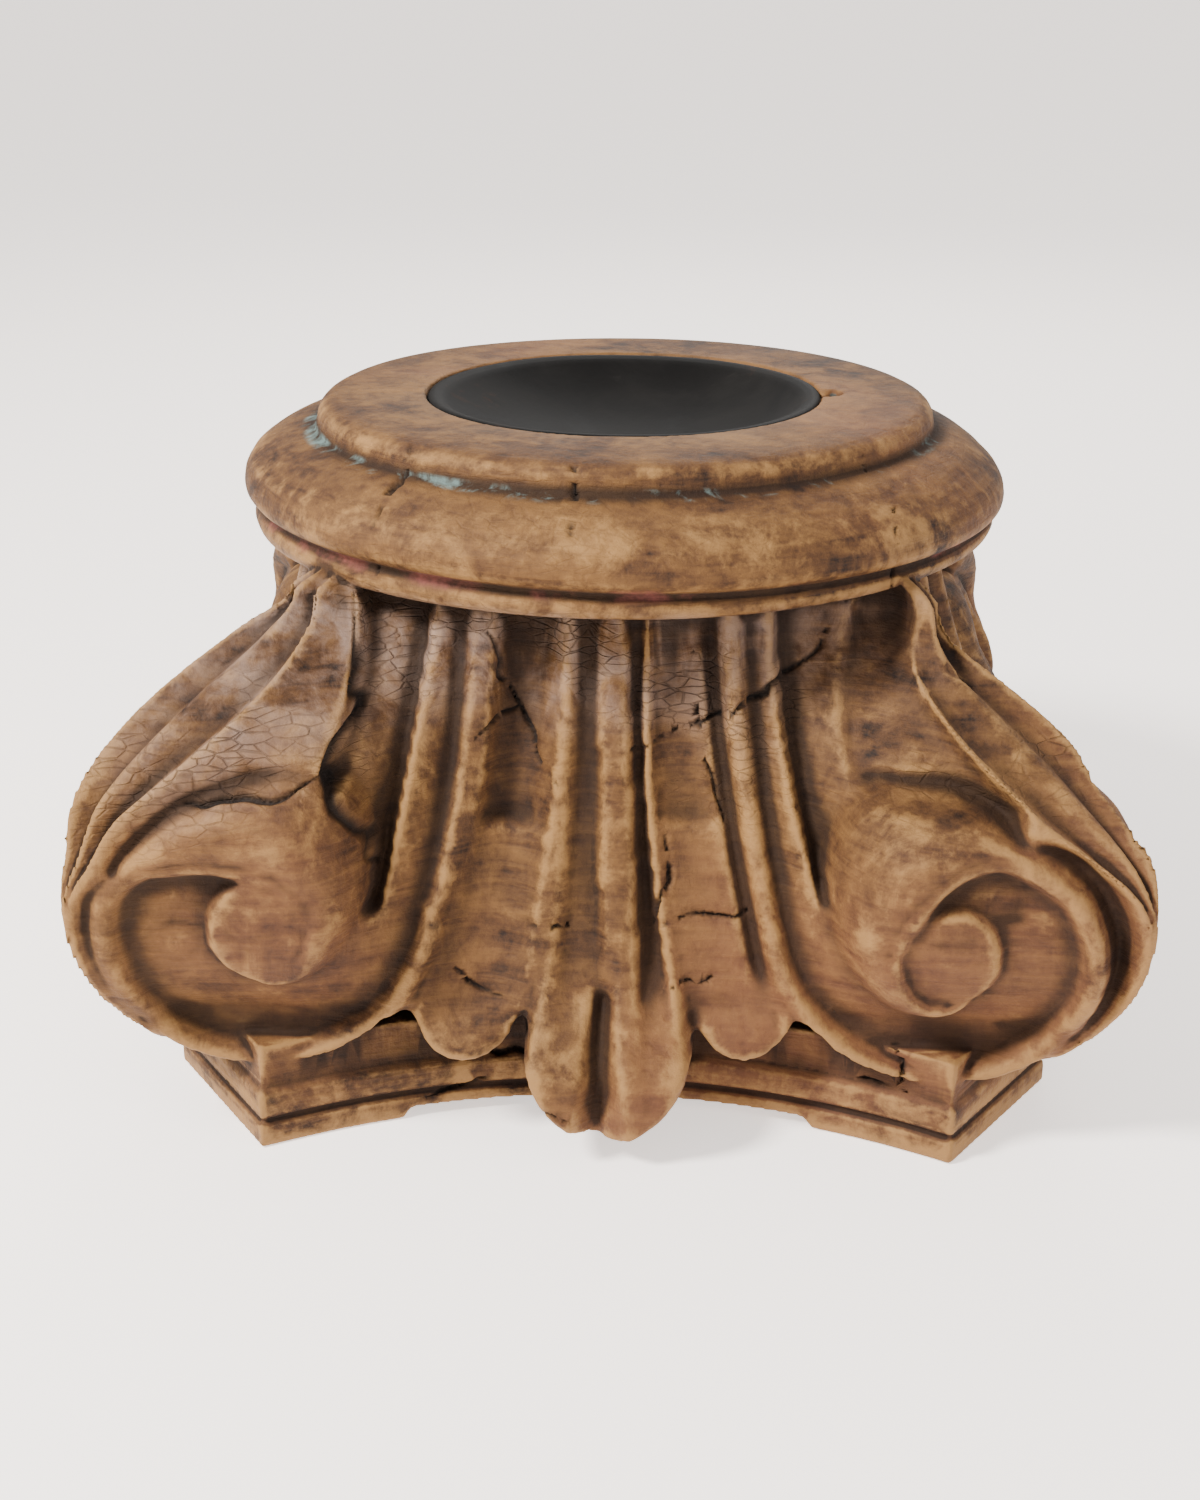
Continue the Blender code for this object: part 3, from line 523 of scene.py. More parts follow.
def hollow_side(along_side, middle, corner, reach):
    """Stand-off of a plinth side that curves in between its corners."""
    return mix(middle, corner, np.clip(np.abs(along_side) / reach, 0.0, 1.1) ** 2)


def plinth_field(x, y, z, sizes):
    """Signed depth in the plinth, with its steps, hollow sides and cut corners."""
    notch = 3.0 * hill(z - 10.5, 1.3) + 0.6 * ease((z - 11.0) / 3.0) + 3.0 * ease((z - 20.0) / 4.0)
    front = hollow_side(x, *PLINTH_FRONT) - notch
    side = hollow_side(y, *PLINTH_SIDE) - notch
    corner = PLINTH_CORNER - notch * 0.7 - np.abs(x) * 0.822 - np.abs(y) * 0.569
    field = np.minimum(np.minimum(front - np.abs(y), side - np.abs(x)), corner)
    worn_front = ease((79.0 - np.abs(x)) / 6.0) * ease((np.abs(y) - 112.0) / 30.0)
    worn_side = ease((79.0 - np.abs(y)) / 6.0) * ease((np.abs(x) - 108.0) / 30.0)
    foot = 4.8 * np.maximum(worn_front, worn_side)
    return np.minimum(np.minimum(field, z - foot), sizes.plinth_top / MM - z)


# Outline of the round moulding and its disc as (height, radius)
MOULDING = ((196.2, 143.5), (196.8, 147.5), (198.6, 150.4), (201.4, 151.6), (204.0, 150.6), (205.8, 148.6),
            (207.0, 149.6), (209.0, 153.0), (211.2, 154.7), (213.7, 155.1), (218.0, 154.4), (223.0, 151.4),
            (228.0, 145.6), (231.5, 139.6), (234.0, 133.6), (235.3, 128.6), (236.0, 126.0), (238.5, 125.2),
            (242.0, 124.6), (244.6, 122.8), (246.2, 119.6), (247.0, 115.0))


def moulding_field(x, y, z, sizes):
    """Signed depth in the round moulding and its top disc."""
    radius = np.hypot(x, y)
    turn = np.arctan2(y, x)
    heights, radii = np.array(MOULDING).T
    radii = radii * (sizes.rim_radius / MM / radii.max())
    sag = 0.016 * x * ease((z - 197.0) / 12.0) * (1.0 - ease((z - 222.0) / 16.0))
    wall = np.interp(z + sag, heights, radii)
    wave = 0.5 * np.sin(3.0 * turn + 0.6) + 0.35 * np.sin(5.0 * turn + 2.0)
    field = (wall + wave - radius) * SLANT
    return np.minimum(np.minimum(field, z - MOULDING[0][0]), MOULDING[-1][0] - z)


DISH_SEAT = 1.4
DISH_SHEET = 1.5
DISH_FLANGE = 6.2
DISH_ROOM = 0.5


def bowl_curve(share, sizes):
    """Rise of the bowl over its lowest point, from the middle (0) to its edge (1)."""
    return (sizes.dish_depth / MM - DISH_SHEET) * share ** 2.3


def dish_under(share, sizes):
    """Height of the bowl's underside."""
    edge = sizes.height / MM - DISH_SEAT - DISH_SHEET
    return edge - bowl_curve(1.0, sizes) + bowl_curve(share, sizes)


def recess_field(x, y, z, sizes):
    """Positive inside the room for the dish."""
    radius = np.hypot(x, y)
    bowl = sizes.dish_radius / MM - DISH_FLANGE
    under = dish_under(np.clip(radius / bowl, 0.0, 1.0), sizes) - DISH_ROOM
    return np.minimum(sizes.dish_radius / MM + DISH_ROOM - radius, z - under)


# Broken spots of the wood as (x, y, z, size), each bitten from outside the surface
CHIPS = (
    (-146.0, 66.0, 222.0, 12.0),
    (83.0, 1.0, 251.0, 7.0),
    (126.0, -126.0, 177.0, 6.0),
    (131.0, -121.0, 168.0, 5.0),
    (177.0, -124.0, 43.0, 6.5),
)
# Grid that the wood is sampled on, and the share that keeps the depths of slanting faces near true
GRID_REACH = 196.0
GRID_FOOT = -2.6
GRID_TALL = 252.0
BAND_REACH = 180.0
CARVING_TOP = 206.0
SLANT = 0.8


def carve(step, sizes):
    """Sampled signed depth of the whole wooden body, with its grid."""
    count = int(math.ceil(2.0 * GRID_REACH / step)) + 1
    levels = int(math.ceil(GRID_TALL / step)) + 1
    line = (-GRID_REACH + step * np.arange(count)).astype(np.float32)
    rise = (GRID_FOOT + step * np.arange(levels)).astype(np.float32)
    p, z = np.meshgrid(line.astype(float), rise.astype(float), indexing="ij")
    front = face_map(p, z, CLOSED_VOLUTE, OPEN_VOLUTE, sizes, 0.0, (LEFT_LIFT, RIGHT_LIFT))
    right = face_map(p, z, CLOSED_VOLUTE, SHALLOW_VOLUTE, sizes, 1.0, (RIGHT_LIFT, 0.0), 17.0)
    back = face_map(p, z, CLOSED_VOLUTE, SHALLOW_VOLUTE, sizes, 1.4, (0.0, 0.0))
    left = face_map(p, z, SHALLOW_VOLUTE, CLOSED_VOLUTE, sizes, 0.8, (0.0, LEFT_LIFT), -8.0)
    x = line[:, None, None]
    y = line[None, :, None]
    h = rise[None, None, :]
    field = np.minimum(front[:, None, :] + y, back[::-1][:, None, :] - y).astype(np.float32)
    np.minimum(field, (right[None, :, :] - x).astype(np.float32), out=field)
    np.minimum(field, (left[::-1][None, :, :] + x).astype(np.float32), out=field)
    field *= SLANT
    for i, (sx, sy) in enumerate(((-1, -1), (1, -1), (1, 1), (-1, 1))):
        u = (sx * x + sy * y) / math.sqrt(2.0)
        v = (x - sy * sx * y) / math.sqrt(2.0)
        span = -BAND_REACH + step * np.arange(int(2.0 * BAND_REACH / step) + 2)
        vv, zz = np.meshgrid(span, rise.astype(float), indexing="ij")
        band = band_map(vv, zz, 31 + 2 * i, (LEFT_LIFT, RIGHT_LIFT, 0.0, 0.0)[i])
        index = np.clip((v[:, :, 0] + BAND_REACH) / step, 0, len(span) - 2)
        low = index.astype(int)
        part = (index - low)[:, :, None]
        reach_map = band[low] * (1.0 - part) + band[low + 1] * part
        np.minimum(field, (reach_map - u).astype(np.float32), out=field)
    np.minimum(field, h - LEAF_FOOT + 0.5, out=field)
    np.minimum(field, CARVING_TOP - h, out=field)
    bell = mix(150.0, 120.0, np.clip((h - 40.0) / BELL_TALL, 0.0, 1.0)) - np.hypot(x, y)
    bell = np.minimum(bell, np.minimum(h - 20.0, CARVING_TOP - h))
    np.maximum(field, bell.astype(np.float32), out=field)
    np.maximum(field, plinth_field(x, y, h, sizes).astype(np.float32), out=field)
    np.maximum(field, moulding_field(x, y, h, sizes).astype(np.float32), out=field)
    np.minimum(field, -recess_field(x, y, h, sizes).astype(np.float32), out=field)
    for px, py, pz, size in CHIPS:
        near = np.sqrt((x - px) ** 2 + (y - py) ** 2 + ((h - pz) * 0.8) ** 2)
        ragged = 1.2 * np.sin(x * 0.9 + pz) * np.sin(y * 0.8) * np.sin(h * 0.7)
        np.minimum(field, (near + ragged - size).astype(np.float32), out=field)
    low = np.array([line[0], line[0], rise[0]], float)
    return field, low


def skin(field, low, step):
    """Quads on the zero level of a sampled field, one vertex in each crossed cell."""
    solid = field > 0.0
    shape = tuple(n - 1 for n in field.shape)
    count = np.zeros(shape, np.uint8)
    for dx, dy, dz in product((0, 1), repeat=3):
        count += solid[dx:shape[0] + dx, dy:shape[1] + dy, dz:shape[2] + dz]
    cells = np.argwhere((count > 0) & (count < 8))
    number = np.full(shape, -1, np.int32)
    number[tuple(cells.T)] = np.arange(len(cells), dtype=np.int32)
    total = np.zeros((len(cells), 3))
    weight = np.zeros(len(cells))
    value = {}
    for corner in product((0, 1), repeat=3):
        value[corner] = field[tuple((cells + corner).T)]
    for axis in range(3):
        for pair in product((0, 1), repeat=2):
            start = list(pair)
            start.insert(axis, 0)
            end = list(start)
            end[axis] = 1
            f0, f1 = value[tuple(start)], value[tuple(end)]
            crossed = (f0 > 0.0) != (f1 > 0.0)
            spot = np.zeros((len(cells), 3)) + start
            spot[:, axis] = np.where(crossed, f0 / np.where(crossed, f0 - f1, 1.0), 0.0)
            total[crossed] += spot[crossed]
            weight[crossed] += 1.0
    points = low + step * (cells + total / weight[:, None])
    quads = []
    for axis in range(3):
        a, b = (axis + 1) % 3, (axis + 2) % 3
        front = [slice(1, n) for n in shape]
        front[axis] = slice(0, shape[axis])
        behind = list(front)
        behind[axis] = slice(1, shape[axis] + 1)
        one, two = solid[tuple(front)], solid[tuple(behind)]
        for first in (True, False):
            spots = np.argwhere((one == first) & (two != first)) + [0 if i == axis else 1 for i in range(3)]
            corners = []
            for da, db in ((-1, -1), (0, -1), (0, 0), (-1, 0)):
                shifted = spots.copy()
                shifted[:, a] += da
                shifted[:, b] += db
                corners.append(number[tuple(shifted.T)])
            quad = np.stack(corners if first else corners[::-1], 1)
            quads.append(quad)
    return points, np.concatenate(quads)


def mesh_from(name, points, quads):
    """Mesh from arrays of points in metres and of equal faces."""
    mesh = bpy.data.meshes.new(name)
    sides = quads.shape[1]
    mesh.vertices.add(len(points))
    mesh.vertices.foreach_set("co", np.ascontiguousarray(points, np.float32).ravel())
    mesh.loops.add(quads.size)
    mesh.loops.foreach_set("vertex_index", quads.astype(np.int32).ravel())
    mesh.polygons.add(len(quads))
    mesh.polygons.foreach_set("loop_start", (np.arange(len(quads)) * sides).astype(np.int32))
    mesh.update(calc_edges=True)
    mesh.validate()
    return mesh


def add_piece(name, mesh):
    """Object of a mesh, put in the scene."""
    piece = bpy.data.objects.new(name, mesh)
    bpy.context.scene.collection.objects.link(piece)
    return piece


def apply_modifiers(piece):
    """Replace a piece's mesh by what its modifiers make of it."""
    graph = bpy.context.evaluated_depsgraph_get()
    result = bpy.data.meshes.new_from_object(piece.evaluated_get(graph))
    piece.modifiers.clear()
    piece.data = result


def mesh_points(mesh):
    """Places of a mesh's vertices as an array."""
    values = np.empty(len(mesh.vertices) * 3, np.float32)
    mesh.vertices.foreach_get("co", values)
    return values.reshape(-1, 3).astype(float)


def keep_value(mesh, name, values):
    """A value at every vertex, for the material to read."""
    layer = mesh.attributes.new(name, "FLOAT", "POINT")
    layer.data.foreach_set("value", np.ascontiguousarray(values, np.float32))


def box_mean(values, radius):
    """Mean over a cube around each sample."""
    for axis in range(3):
        pad = [(0, 0)] * 3
        pad[axis] = (radius + 1, radius)
        run = np.cumsum(np.pad(values, pad, mode="edge"), axis=axis, dtype=np.float32)
        high = [slice(None)] * 3
        low = [slice(None)] * 3
        high[axis] = slice(2 * radius + 1, None)
        low[axis] = slice(0, -(2 * radius + 1))
        values = (run[tuple(high)] - run[tuple(low)]) / (2 * radius + 1)
    return values


def sample(values, low, step, points):
    """Values of a grid at points, blended between samples."""
    spot = (points - low) / step
    cell = np.clip(np.floor(spot).astype(int), 0, np.array(values.shape) - 2)
    part = np.clip(spot - cell, 0.0, 1.0)
    total = np.zeros(len(points))
    for corner in product((0, 1), repeat=3):
        weight = np.prod(np.where(np.array(corner) == 1, part, 1.0 - part), axis=1)
        total += weight * values[tuple((cell + corner).T)]
    return total


# Drying cracks of the front face as runs of (across, height) in millimetres, with a width
FRONT_CRACKS = (
    (2.6, ((-97, 197), (-93, 179), (-91, 164), (-99, 145), (-95, 135), (-87, 123), (-84, 105))),
    (1.4, ((-99, 145), (-116, 140), (-136, 140), (-150, 137))),
    (1.1, ((-47, 191), (-41, 172), (-34, 157), (-28, 143), (-24, 134), (-18, 131))),
    (1.0, ((-48, 148), (-39, 154), (-32, 158))),
    (1.3, ((4, 145), (14, 145), (32, 152), (47, 160), (68, 170), (79, 182), (90, 196))),
    (1.0, ((28, 182), (32, 154), (41, 116))),
    (1.2, ((20, 116), (22, 98), (17, 81))),
    (1.0, ((19, 81), (34, 86), (47, 85), (57, 89))),
    (0.9, ((21, 61), (47, 65))),
    (1.2, ((106, 44), (111, 20))),
    (1.3, ((-29, 82), (-18, 82), (-10, 80))),
    (1.0, ((-62, 70), (-51, 60), (-39, 55))),
    (1.3, ((-72, 31), (-40, 24), (-6, 21))),
    (1.2, ((-72, 8), (-36, 14), (-4, 13))),
    (1.0, ((60, 30), (95, 24), (118, 27))),
)
# Cracks of the disc and the moulding as runs of (radius, degrees anticlockwise from the right)
TOP_CRACKS = (
    (1.3, ((121, 231), (138, 234), (153, 236))),
    (1.1, ((100, 262), (126, 263), (150, 265))),
    (1.3, ((124, 318), (140, 316), (154, 312))),
    (1.1, ((84, 300), (108, 297), (123, 299))),
    (1.2, ((82, 35), (110, 38), (150, 36))),
    (1.0, ((84, 150), (118, 146), (152, 149))),
    (1.0, ((124, 95), (153, 92))),
)


def other_cracks(seed):
    """Cracks of a face that the light of the day seldom reaches."""
    rng = np.random.default_rng(seed)
    runs = []
    for _ in range(7):
        spot = np.array([rng.uniform(-120.0, 120.0), rng.uniform(60.0, 190.0)])
        heading = rng.uniform(-0.5, 0.5) + (math.pi / 2.0 if rng.random() < 0.6 else 0.0)
        run = [tuple(spot)]
        for _ in range(4):
            heading += rng.uniform(-0.45, 0.45)
            spot = spot + 13.0 * np.array([math.cos(heading), math.sin(heading)])
            run.append(tuple(spot))
        runs.append((rng.uniform(0.8, 1.3), run))
    return runs


def crack_nearness(a, b, runs, seed):
    """How deep in a crack each point (a, b) lies, from 0 to 1."""
    depth = np.zeros(len(a))
    wobble_a = 2.0 * grain(np.stack([a, b, a * 0.0], 1), (7.0, 7.0, 1.0), seed)
    wobble_b = 2.0 * grain(np.stack([a, b, a * 0.0 + 9.5], 1), (7.0, 7.0, 1.0), seed + 1)
    pa, pb = a + wobble_a, b + wobble_b
    for width, run in runs:
        length = sum(math.dist(run[i], run[i + 1]) for i in range(len(run) - 1))
        gone = 0.0
        for start, end in zip(run[:-1], run[1:]):
            dx, dy = end[0] - start[0], end[1] - start[1]
            size = math.hypot(dx, dy)
            t = np.clip(((pa - start[0]) * dx + (pb - start[1]) * dy) / size ** 2, 0.0, 1.0)
            gap = np.hypot(pa - start[0] - t * dx, pb - start[1] - t * dy)
            place = (gone + t * size) / length
            taper = 0.25 + 0.75 * np.sin(math.pi * np.clip(place * 0.9 + 0.05, 0.0, 1.0))
            depth = np.maximum(depth, np.clip(1.0 - gap / (width * taper), 0.0, 1.0) * taper)
            gone += size
    return depth


def all_cracks(points):
    """Depth in a crack, from 0 to 1, for every point of the wood in millimetres."""
    x, y, z = points.T
    depth = np.zeros(len(points))
    side = np.where(np.abs(y) > np.abs(x), np.where(y < 0.0, 0, 2), np.where(x > 0.0, 1, 3))
    across = (x, y, -x, -y)
    for face in range(4):
        chosen = (side == face) & (z < 197.0) & (np.hypot(x, y) > 112.0)
        runs = FRONT_CRACKS if face == 0 else other_cracks(40 + face)
        depth[chosen] = crack_nearness(across[face][chosen], z[chosen], runs, 60 + face)
    chosen = (z > 197.0) & (np.hypot(x, y) > 82.0)
    turns = [(w, [(r * math.cos(math.radians(t)), r * math.sin(math.radians(t))) for r, t in run])
             for w, run in TOP_CRACKS]
    depth[chosen] = crack_nearness(x[chosen], y[chosen], turns, 70)
    return depth


def divide_near(mesh, wanted, longest):
    """Halve the longer edges of a mesh where a value is wanted, so that fine marks have points."""
    shape = bmesh.new()
    shape.from_mesh(mesh)
    for _ in range(2):
        shape.verts.ensure_lookup_table()
        points = np.array([v.co[:] for v in shape.verts]) / MM
        near = wanted(points)
        edges = [e for e in shape.edges
                 if max(near[e.verts[0].index], near[e.verts[1].index]) > 0.0 and e.calc_length() > longest]
        if not edges:
            break
        bmesh.ops.subdivide_edges(shape, edges=edges, cuts=1, use_grid_fill=False)
        bmesh.ops.triangulate(shape, faces=[face for face in shape.faces if len(face.verts) > 3])
    shape.to_mesh(mesh)
    shape.free()


# Depth at which a crack begins, the shortest edge left whole beside one, and how far the hollows are felt
CRACK_START = 0.02
FINEST_EDGE = 0.0016
NEAR_REACH, NEAR_OFF = 2.6, 0.6
BROAD_REACH, BROAD_OFF = 9.0, 1.5


def hollowness(solid, low, step, spots, reach, gain):
    """How shut in each spot lies against the middle value of all, from -1 to 1."""
    filled = sample(box_mean(solid, max(1, round(reach / step))), low, step, spots)
    return np.clip((filled - np.median(filled)) * gain, -1.0, 1.0)


def build_wood(sizes):
    """The carved body as one closed mesh with its values for the finish."""
    step = sizes.grid / MM
    field, low = carve(step, sizes)
    solid = (field > 0.0).astype(np.float32)
    points, quads = skin(field, low, step)
    del field
    piece = add_piece("carved_column_base", mesh_from("carved_column_base", points * MM, quads))
    wanted = sizes.wood_faces * 1.0
    reduce = piece.modifiers.new("reduce", "DECIMATE")
    reduce.ratio = min(1.0, wanted / (2.0 * len(quads)))
    apply_modifiers(piece)
    mesh = piece.data
    divide_near(mesh, lambda spots: all_cracks(spots) - CRACK_START, FINEST_EDGE)
    points = mesh_points(mesh)
    normals = np.empty(len(mesh.vertices) * 3, np.float32)
    mesh.vertices.foreach_get("normal", normals)
    normals = normals.reshape(-1, 3)
    spots = points / MM
    cracks = all_cracks(spots)
    near = hollowness(solid, low, step, spots + normals * NEAR_OFF, NEAR_REACH, 5.0)
    broad = hollowness(solid, low, step, spots + normals * BROAD_OFF, BROAD_REACH, 3.4)
    points = points - normals * (cracks * sizes.crack_depth)[:, None]
    points = np.clip(points, np.array(BODY_BOX[0]) + BOX_INSET, np.array(BODY_BOX[1]) - BOX_INSET)
    mesh.vertices.foreach_set("co", np.ascontiguousarray(points, np.float32).ravel())
    # How shut in each point lies, near and broad: the finish darkens the hollows with it as painted shade
    # and lightens open edges with it
    keep_value(mesh, "near_hollow", near)
    keep_value(mesh, "broad_hollow", broad)
    keep_value(mesh, "cracked", np.clip(cracks * 1.6, 0.0, 1.0))
    mesh.polygons.foreach_set("use_smooth", np.ones(len(mesh.polygons), bool))
    mesh.update()
    return piece


def dish_outline(sizes):
    """Section of the dish as (radius, height): inside, over the rolled flange and back underneath."""
    radius = sizes.dish_radius / MM - 0.1
    bowl = sizes.dish_radius / MM - DISH_FLANGE
    top = sizes.height / MM - DISH_SEAT
    low = top - bowl_curve(1.0, sizes)
    rings = [(bowl * share, low + bowl_curve(share, sizes) - 0.15) for share in np.linspace(0.0, 1.0, 34)]
    rings += [(bowl + out, top + up) for out, up in ((0.8, 0.1), (2.4, 0.7))]
    roll = ((2.6, 0.9), (1.2, 0.8), (0.4, 0.4), (0.0, -0.2), (0.1, -0.9), (0.6, -1.3))
    rings += [(radius - back, top + up) for back, up in roll]
    rings += [(bowl, top - 1.6)]
    under = low - DISH_SHEET + 0.05
    rings += [(bowl * share, under + bowl_curve(share, sizes)) for share in np.linspace(0.97, 0.0, 20)]
    return rings


def build_dish(sizes):
    """Thin turned metal dish with a rolled flange, slightly out of true."""
    rings = dish_outline(sizes)
    radius = sizes.dish_radius / MM - 0.1
    turns = 128
    shape = bmesh.new()
    loops = []
    for r, z in rings:
        if r < 0.01:
            loops.append([shape.verts.new((0.0, 0.0, z * MM))])
            continue
        loop = []
        for k in range(turns):
            a = 2.0 * math.pi * k / turns
            share = r / radius
            wave = 0.22 * math.sin(3.0 * a + 1.0) * share ** 4 + 0.10 * math.sin(7.0 * a) * share ** 4
            dent = 0.25 * math.sin(2.0 * a + 0.7) * share * (1.0 - share)
            spot = Vector((r * math.cos(a), r * math.sin(a), z + wave + dent))
            loop.append(shape.verts.new(spot * MM))
        loops.append(loop)
    for one, two in zip(loops[:-1], loops[1:]):
        for k in range(turns):
            n = (k + 1) % turns
            if len(one) == 1:
                shape.faces.new((one[0], two[k], two[n]))
            elif len(two) == 1:
                shape.faces.new((one[k], two[0], one[n]))
            else:
                shape.faces.new((one[k], two[k], two[n], one[n]))
    bmesh.ops.recalc_face_normals(shape, faces=shape.faces)
    for face in shape.faces:
        face.smooth = True
    mesh = bpy.data.meshes.new("sunken_dish")
    shape.to_mesh(mesh)
    shape.free()
    points = mesh_points(mesh)
    points[:, 2] = np.minimum(points[:, 2], BODY_BOX[1][2] - 2.0 * BOX_INSET)
    mesh.vertices.foreach_set("co", np.ascontiguousarray(points, np.float32).ravel())
    mesh.update()
    return add_piece("sunken_dish", mesh)


FLOOR_ROUGH = 0.85
FLOOR_GLOW = (1.0, 0.93, 0.88)
FLOOR_RADIUS = 30.0
AIR_COLOUR = (0.95, 0.92, 0.90)
AIR_STRENGTH = 0.98
# Lights as name, place, height that they are aimed at, size, power and colour
LIGHTS = (
    ("key", (-1.05, -0.75, 1.35), 0.10, 0.42, 74.0, (1.0, 0.975, 0.94)),
    ("fill", (1.45, -1.10, 0.90), 0.10, 1.20, 12.0, (0.96, 0.98, 1.0)),
    ("back", (0.20, 1.50, 1.30), 0.12, 1.00, 16.0, (1.0, 0.99, 0.97)),
)


class Wire:
    """A node's output that takes part in sums written as Python."""

    def __init__(self, tree, socket):
        self.tree = tree
        self.socket = socket

    def work(self, operation, *values):
        node = self.tree.nodes.new("ShaderNodeMath")
        node.operation = operation
        for slot, value in zip(node.inputs, values):
            if isinstance(value, Wire):
                self.tree.links.new(value.socket, slot)
            else:
                slot.default_value = value
        return Wire(self.tree, node.outputs[0])

    def __add__(self, other):
        return self.work("ADD", self, other)

    def __radd__(self, other):
        return self.work("ADD", other, self)

    def __sub__(self, other):
        return self.work("SUBTRACT", self, other)

    def __rsub__(self, other):
        return self.work("SUBTRACT", other, self)

    def __mul__(self, other):
        return self.work("MULTIPLY", self, other)

    def __rmul__(self, other):
        return self.work("MULTIPLY", other, self)

    def most(self, other):
        return self.work("MAXIMUM", self, other)

    def clamped(self):
        return self.work("MINIMUM", self.work("MAXIMUM", self, 0.0), 1.0)


class Finish:
    """A material's nodes, made a few words at a time."""

    def __init__(self, name):
        self.material = bpy.data.materials.new(name)
        self.material.use_nodes = True
        self.tree = self.material.node_tree
        self.tree.nodes.clear()

    def node(self, kind, settings=None, output=0, slots=(), **sockets):
        """Add a node: its settings, then the values or links of its sockets by number or by name."""
        node = self.tree.nodes.new(kind)
        for key, value in (settings or {}).items():
            if key == "stops":
                self.set_stops(node.color_ramp, value)
            else:
                setattr(node, key, value)
        named = [(key.replace("_", " "), value) for key, value in sockets.items()]
        for key, value in (*slots, *named):
            slot = node.inputs[key]
            if isinstance(value, Wire):
                self.tree.links.new(value.socket, slot)
            else:
                slot.default_value = (*value, 1.0) if slot.type == "RGBA" else value
        return Wire(self.tree, node.outputs[output]) if node.outputs else None

    def set_stops(self, ramp, stops):
        while len(ramp.elements) > 1:
            ramp.elements.remove(ramp.elements[-1])
        ramp.elements[0].position, ramp.elements[0].color = stops[0][0], (*stops[0][1], 1.0)
        for place, colour in stops[1:]:
            ramp.elements.new(place).color = (*colour, 1.0)

    def kept(self, name):
        return self.node("ShaderNodeAttribute", {"attribute_name": name}, output=2)

    def place(self):
        return self.node("ShaderNodeTexCoord", output=3)

    def moved(self, vector, scale):
        return self.node("ShaderNodeMapping", Vector=vector, Scale=scale)

    def noise(self, vector, scale, detail=4.0, rough=0.55, twist=0.0):
        return self.node("ShaderNodeTexNoise", Vector=vector, Scale=scale, Detail=detail, Roughness=rough,
                         Distortion=twist)

    def fade(self, value, start, end):
        """0 at start and 1 at end, smooth between."""
        return self.node("ShaderNodeMapRange", {"interpolation_type": "SMOOTHSTEP"}, Value=value,
                         From_Min=start, From_Max=end)

    def between(self, value, start, full, fading, gone):
        """1 from full to fading, and 0 before start and past gone."""
        return self.fade(value, start, full) * (1.0 - self.fade(value, fading, gone))

    def blend(self, factor, one, two):
        slots = ((0, factor), (6, one), (7, two))
        return self.node("ShaderNodeMix", {"data_type": "RGBA"}, 2, slots)

    def bump(self, height, strength, distance):
        return self.node("ShaderNodeBump", Height=height, Strength=strength, Distance=distance)

    def done(self, colour, rough, **sockets):
        shader = self.node("ShaderNodeBsdfPrincipled", Base_Color=colour, Roughness=rough, **sockets)
        self.node("ShaderNodeOutputMaterial", Surface=shader)
        return self.material


def tinted(colour, *shares):
    """A colour times one share, or times a share for each channel."""
    shares = shares * 3 if len(shares) == 1 else shares
    return tuple(min(1.0, c * share) for c, share in zip(colour, shares))


def old_paint(f, wood, place, z, near, colours):
    """Teal on the disc's ledge and in the moulding's hollows, rose on the bead under it."""
    spots = f.fade(f.noise(place, 34.0, 6.0, 0.7, 0.5), 0.50, 0.66)
    ledge = f.between(z, 0.2345, 0.2352, 0.2368, 0.2380) * spots
    hollows = f.fade(near, 0.15, 0.5) * spots * f.fade(z, 0.2075, 0.2100) * 0.6
    wood = f.blend(ledge.most(hollows) * 0.55, wood, tuple(colours.teal))
    bead = f.between(z, 0.203, 0.2055, 0.2080, 0.2105)
    bead = bead * f.fade(f.noise(place, 26.0, 5.0, 0.65), 0.50, 0.68)
    return f.blend(bead * 0.35, wood, tuple(colours.rose))


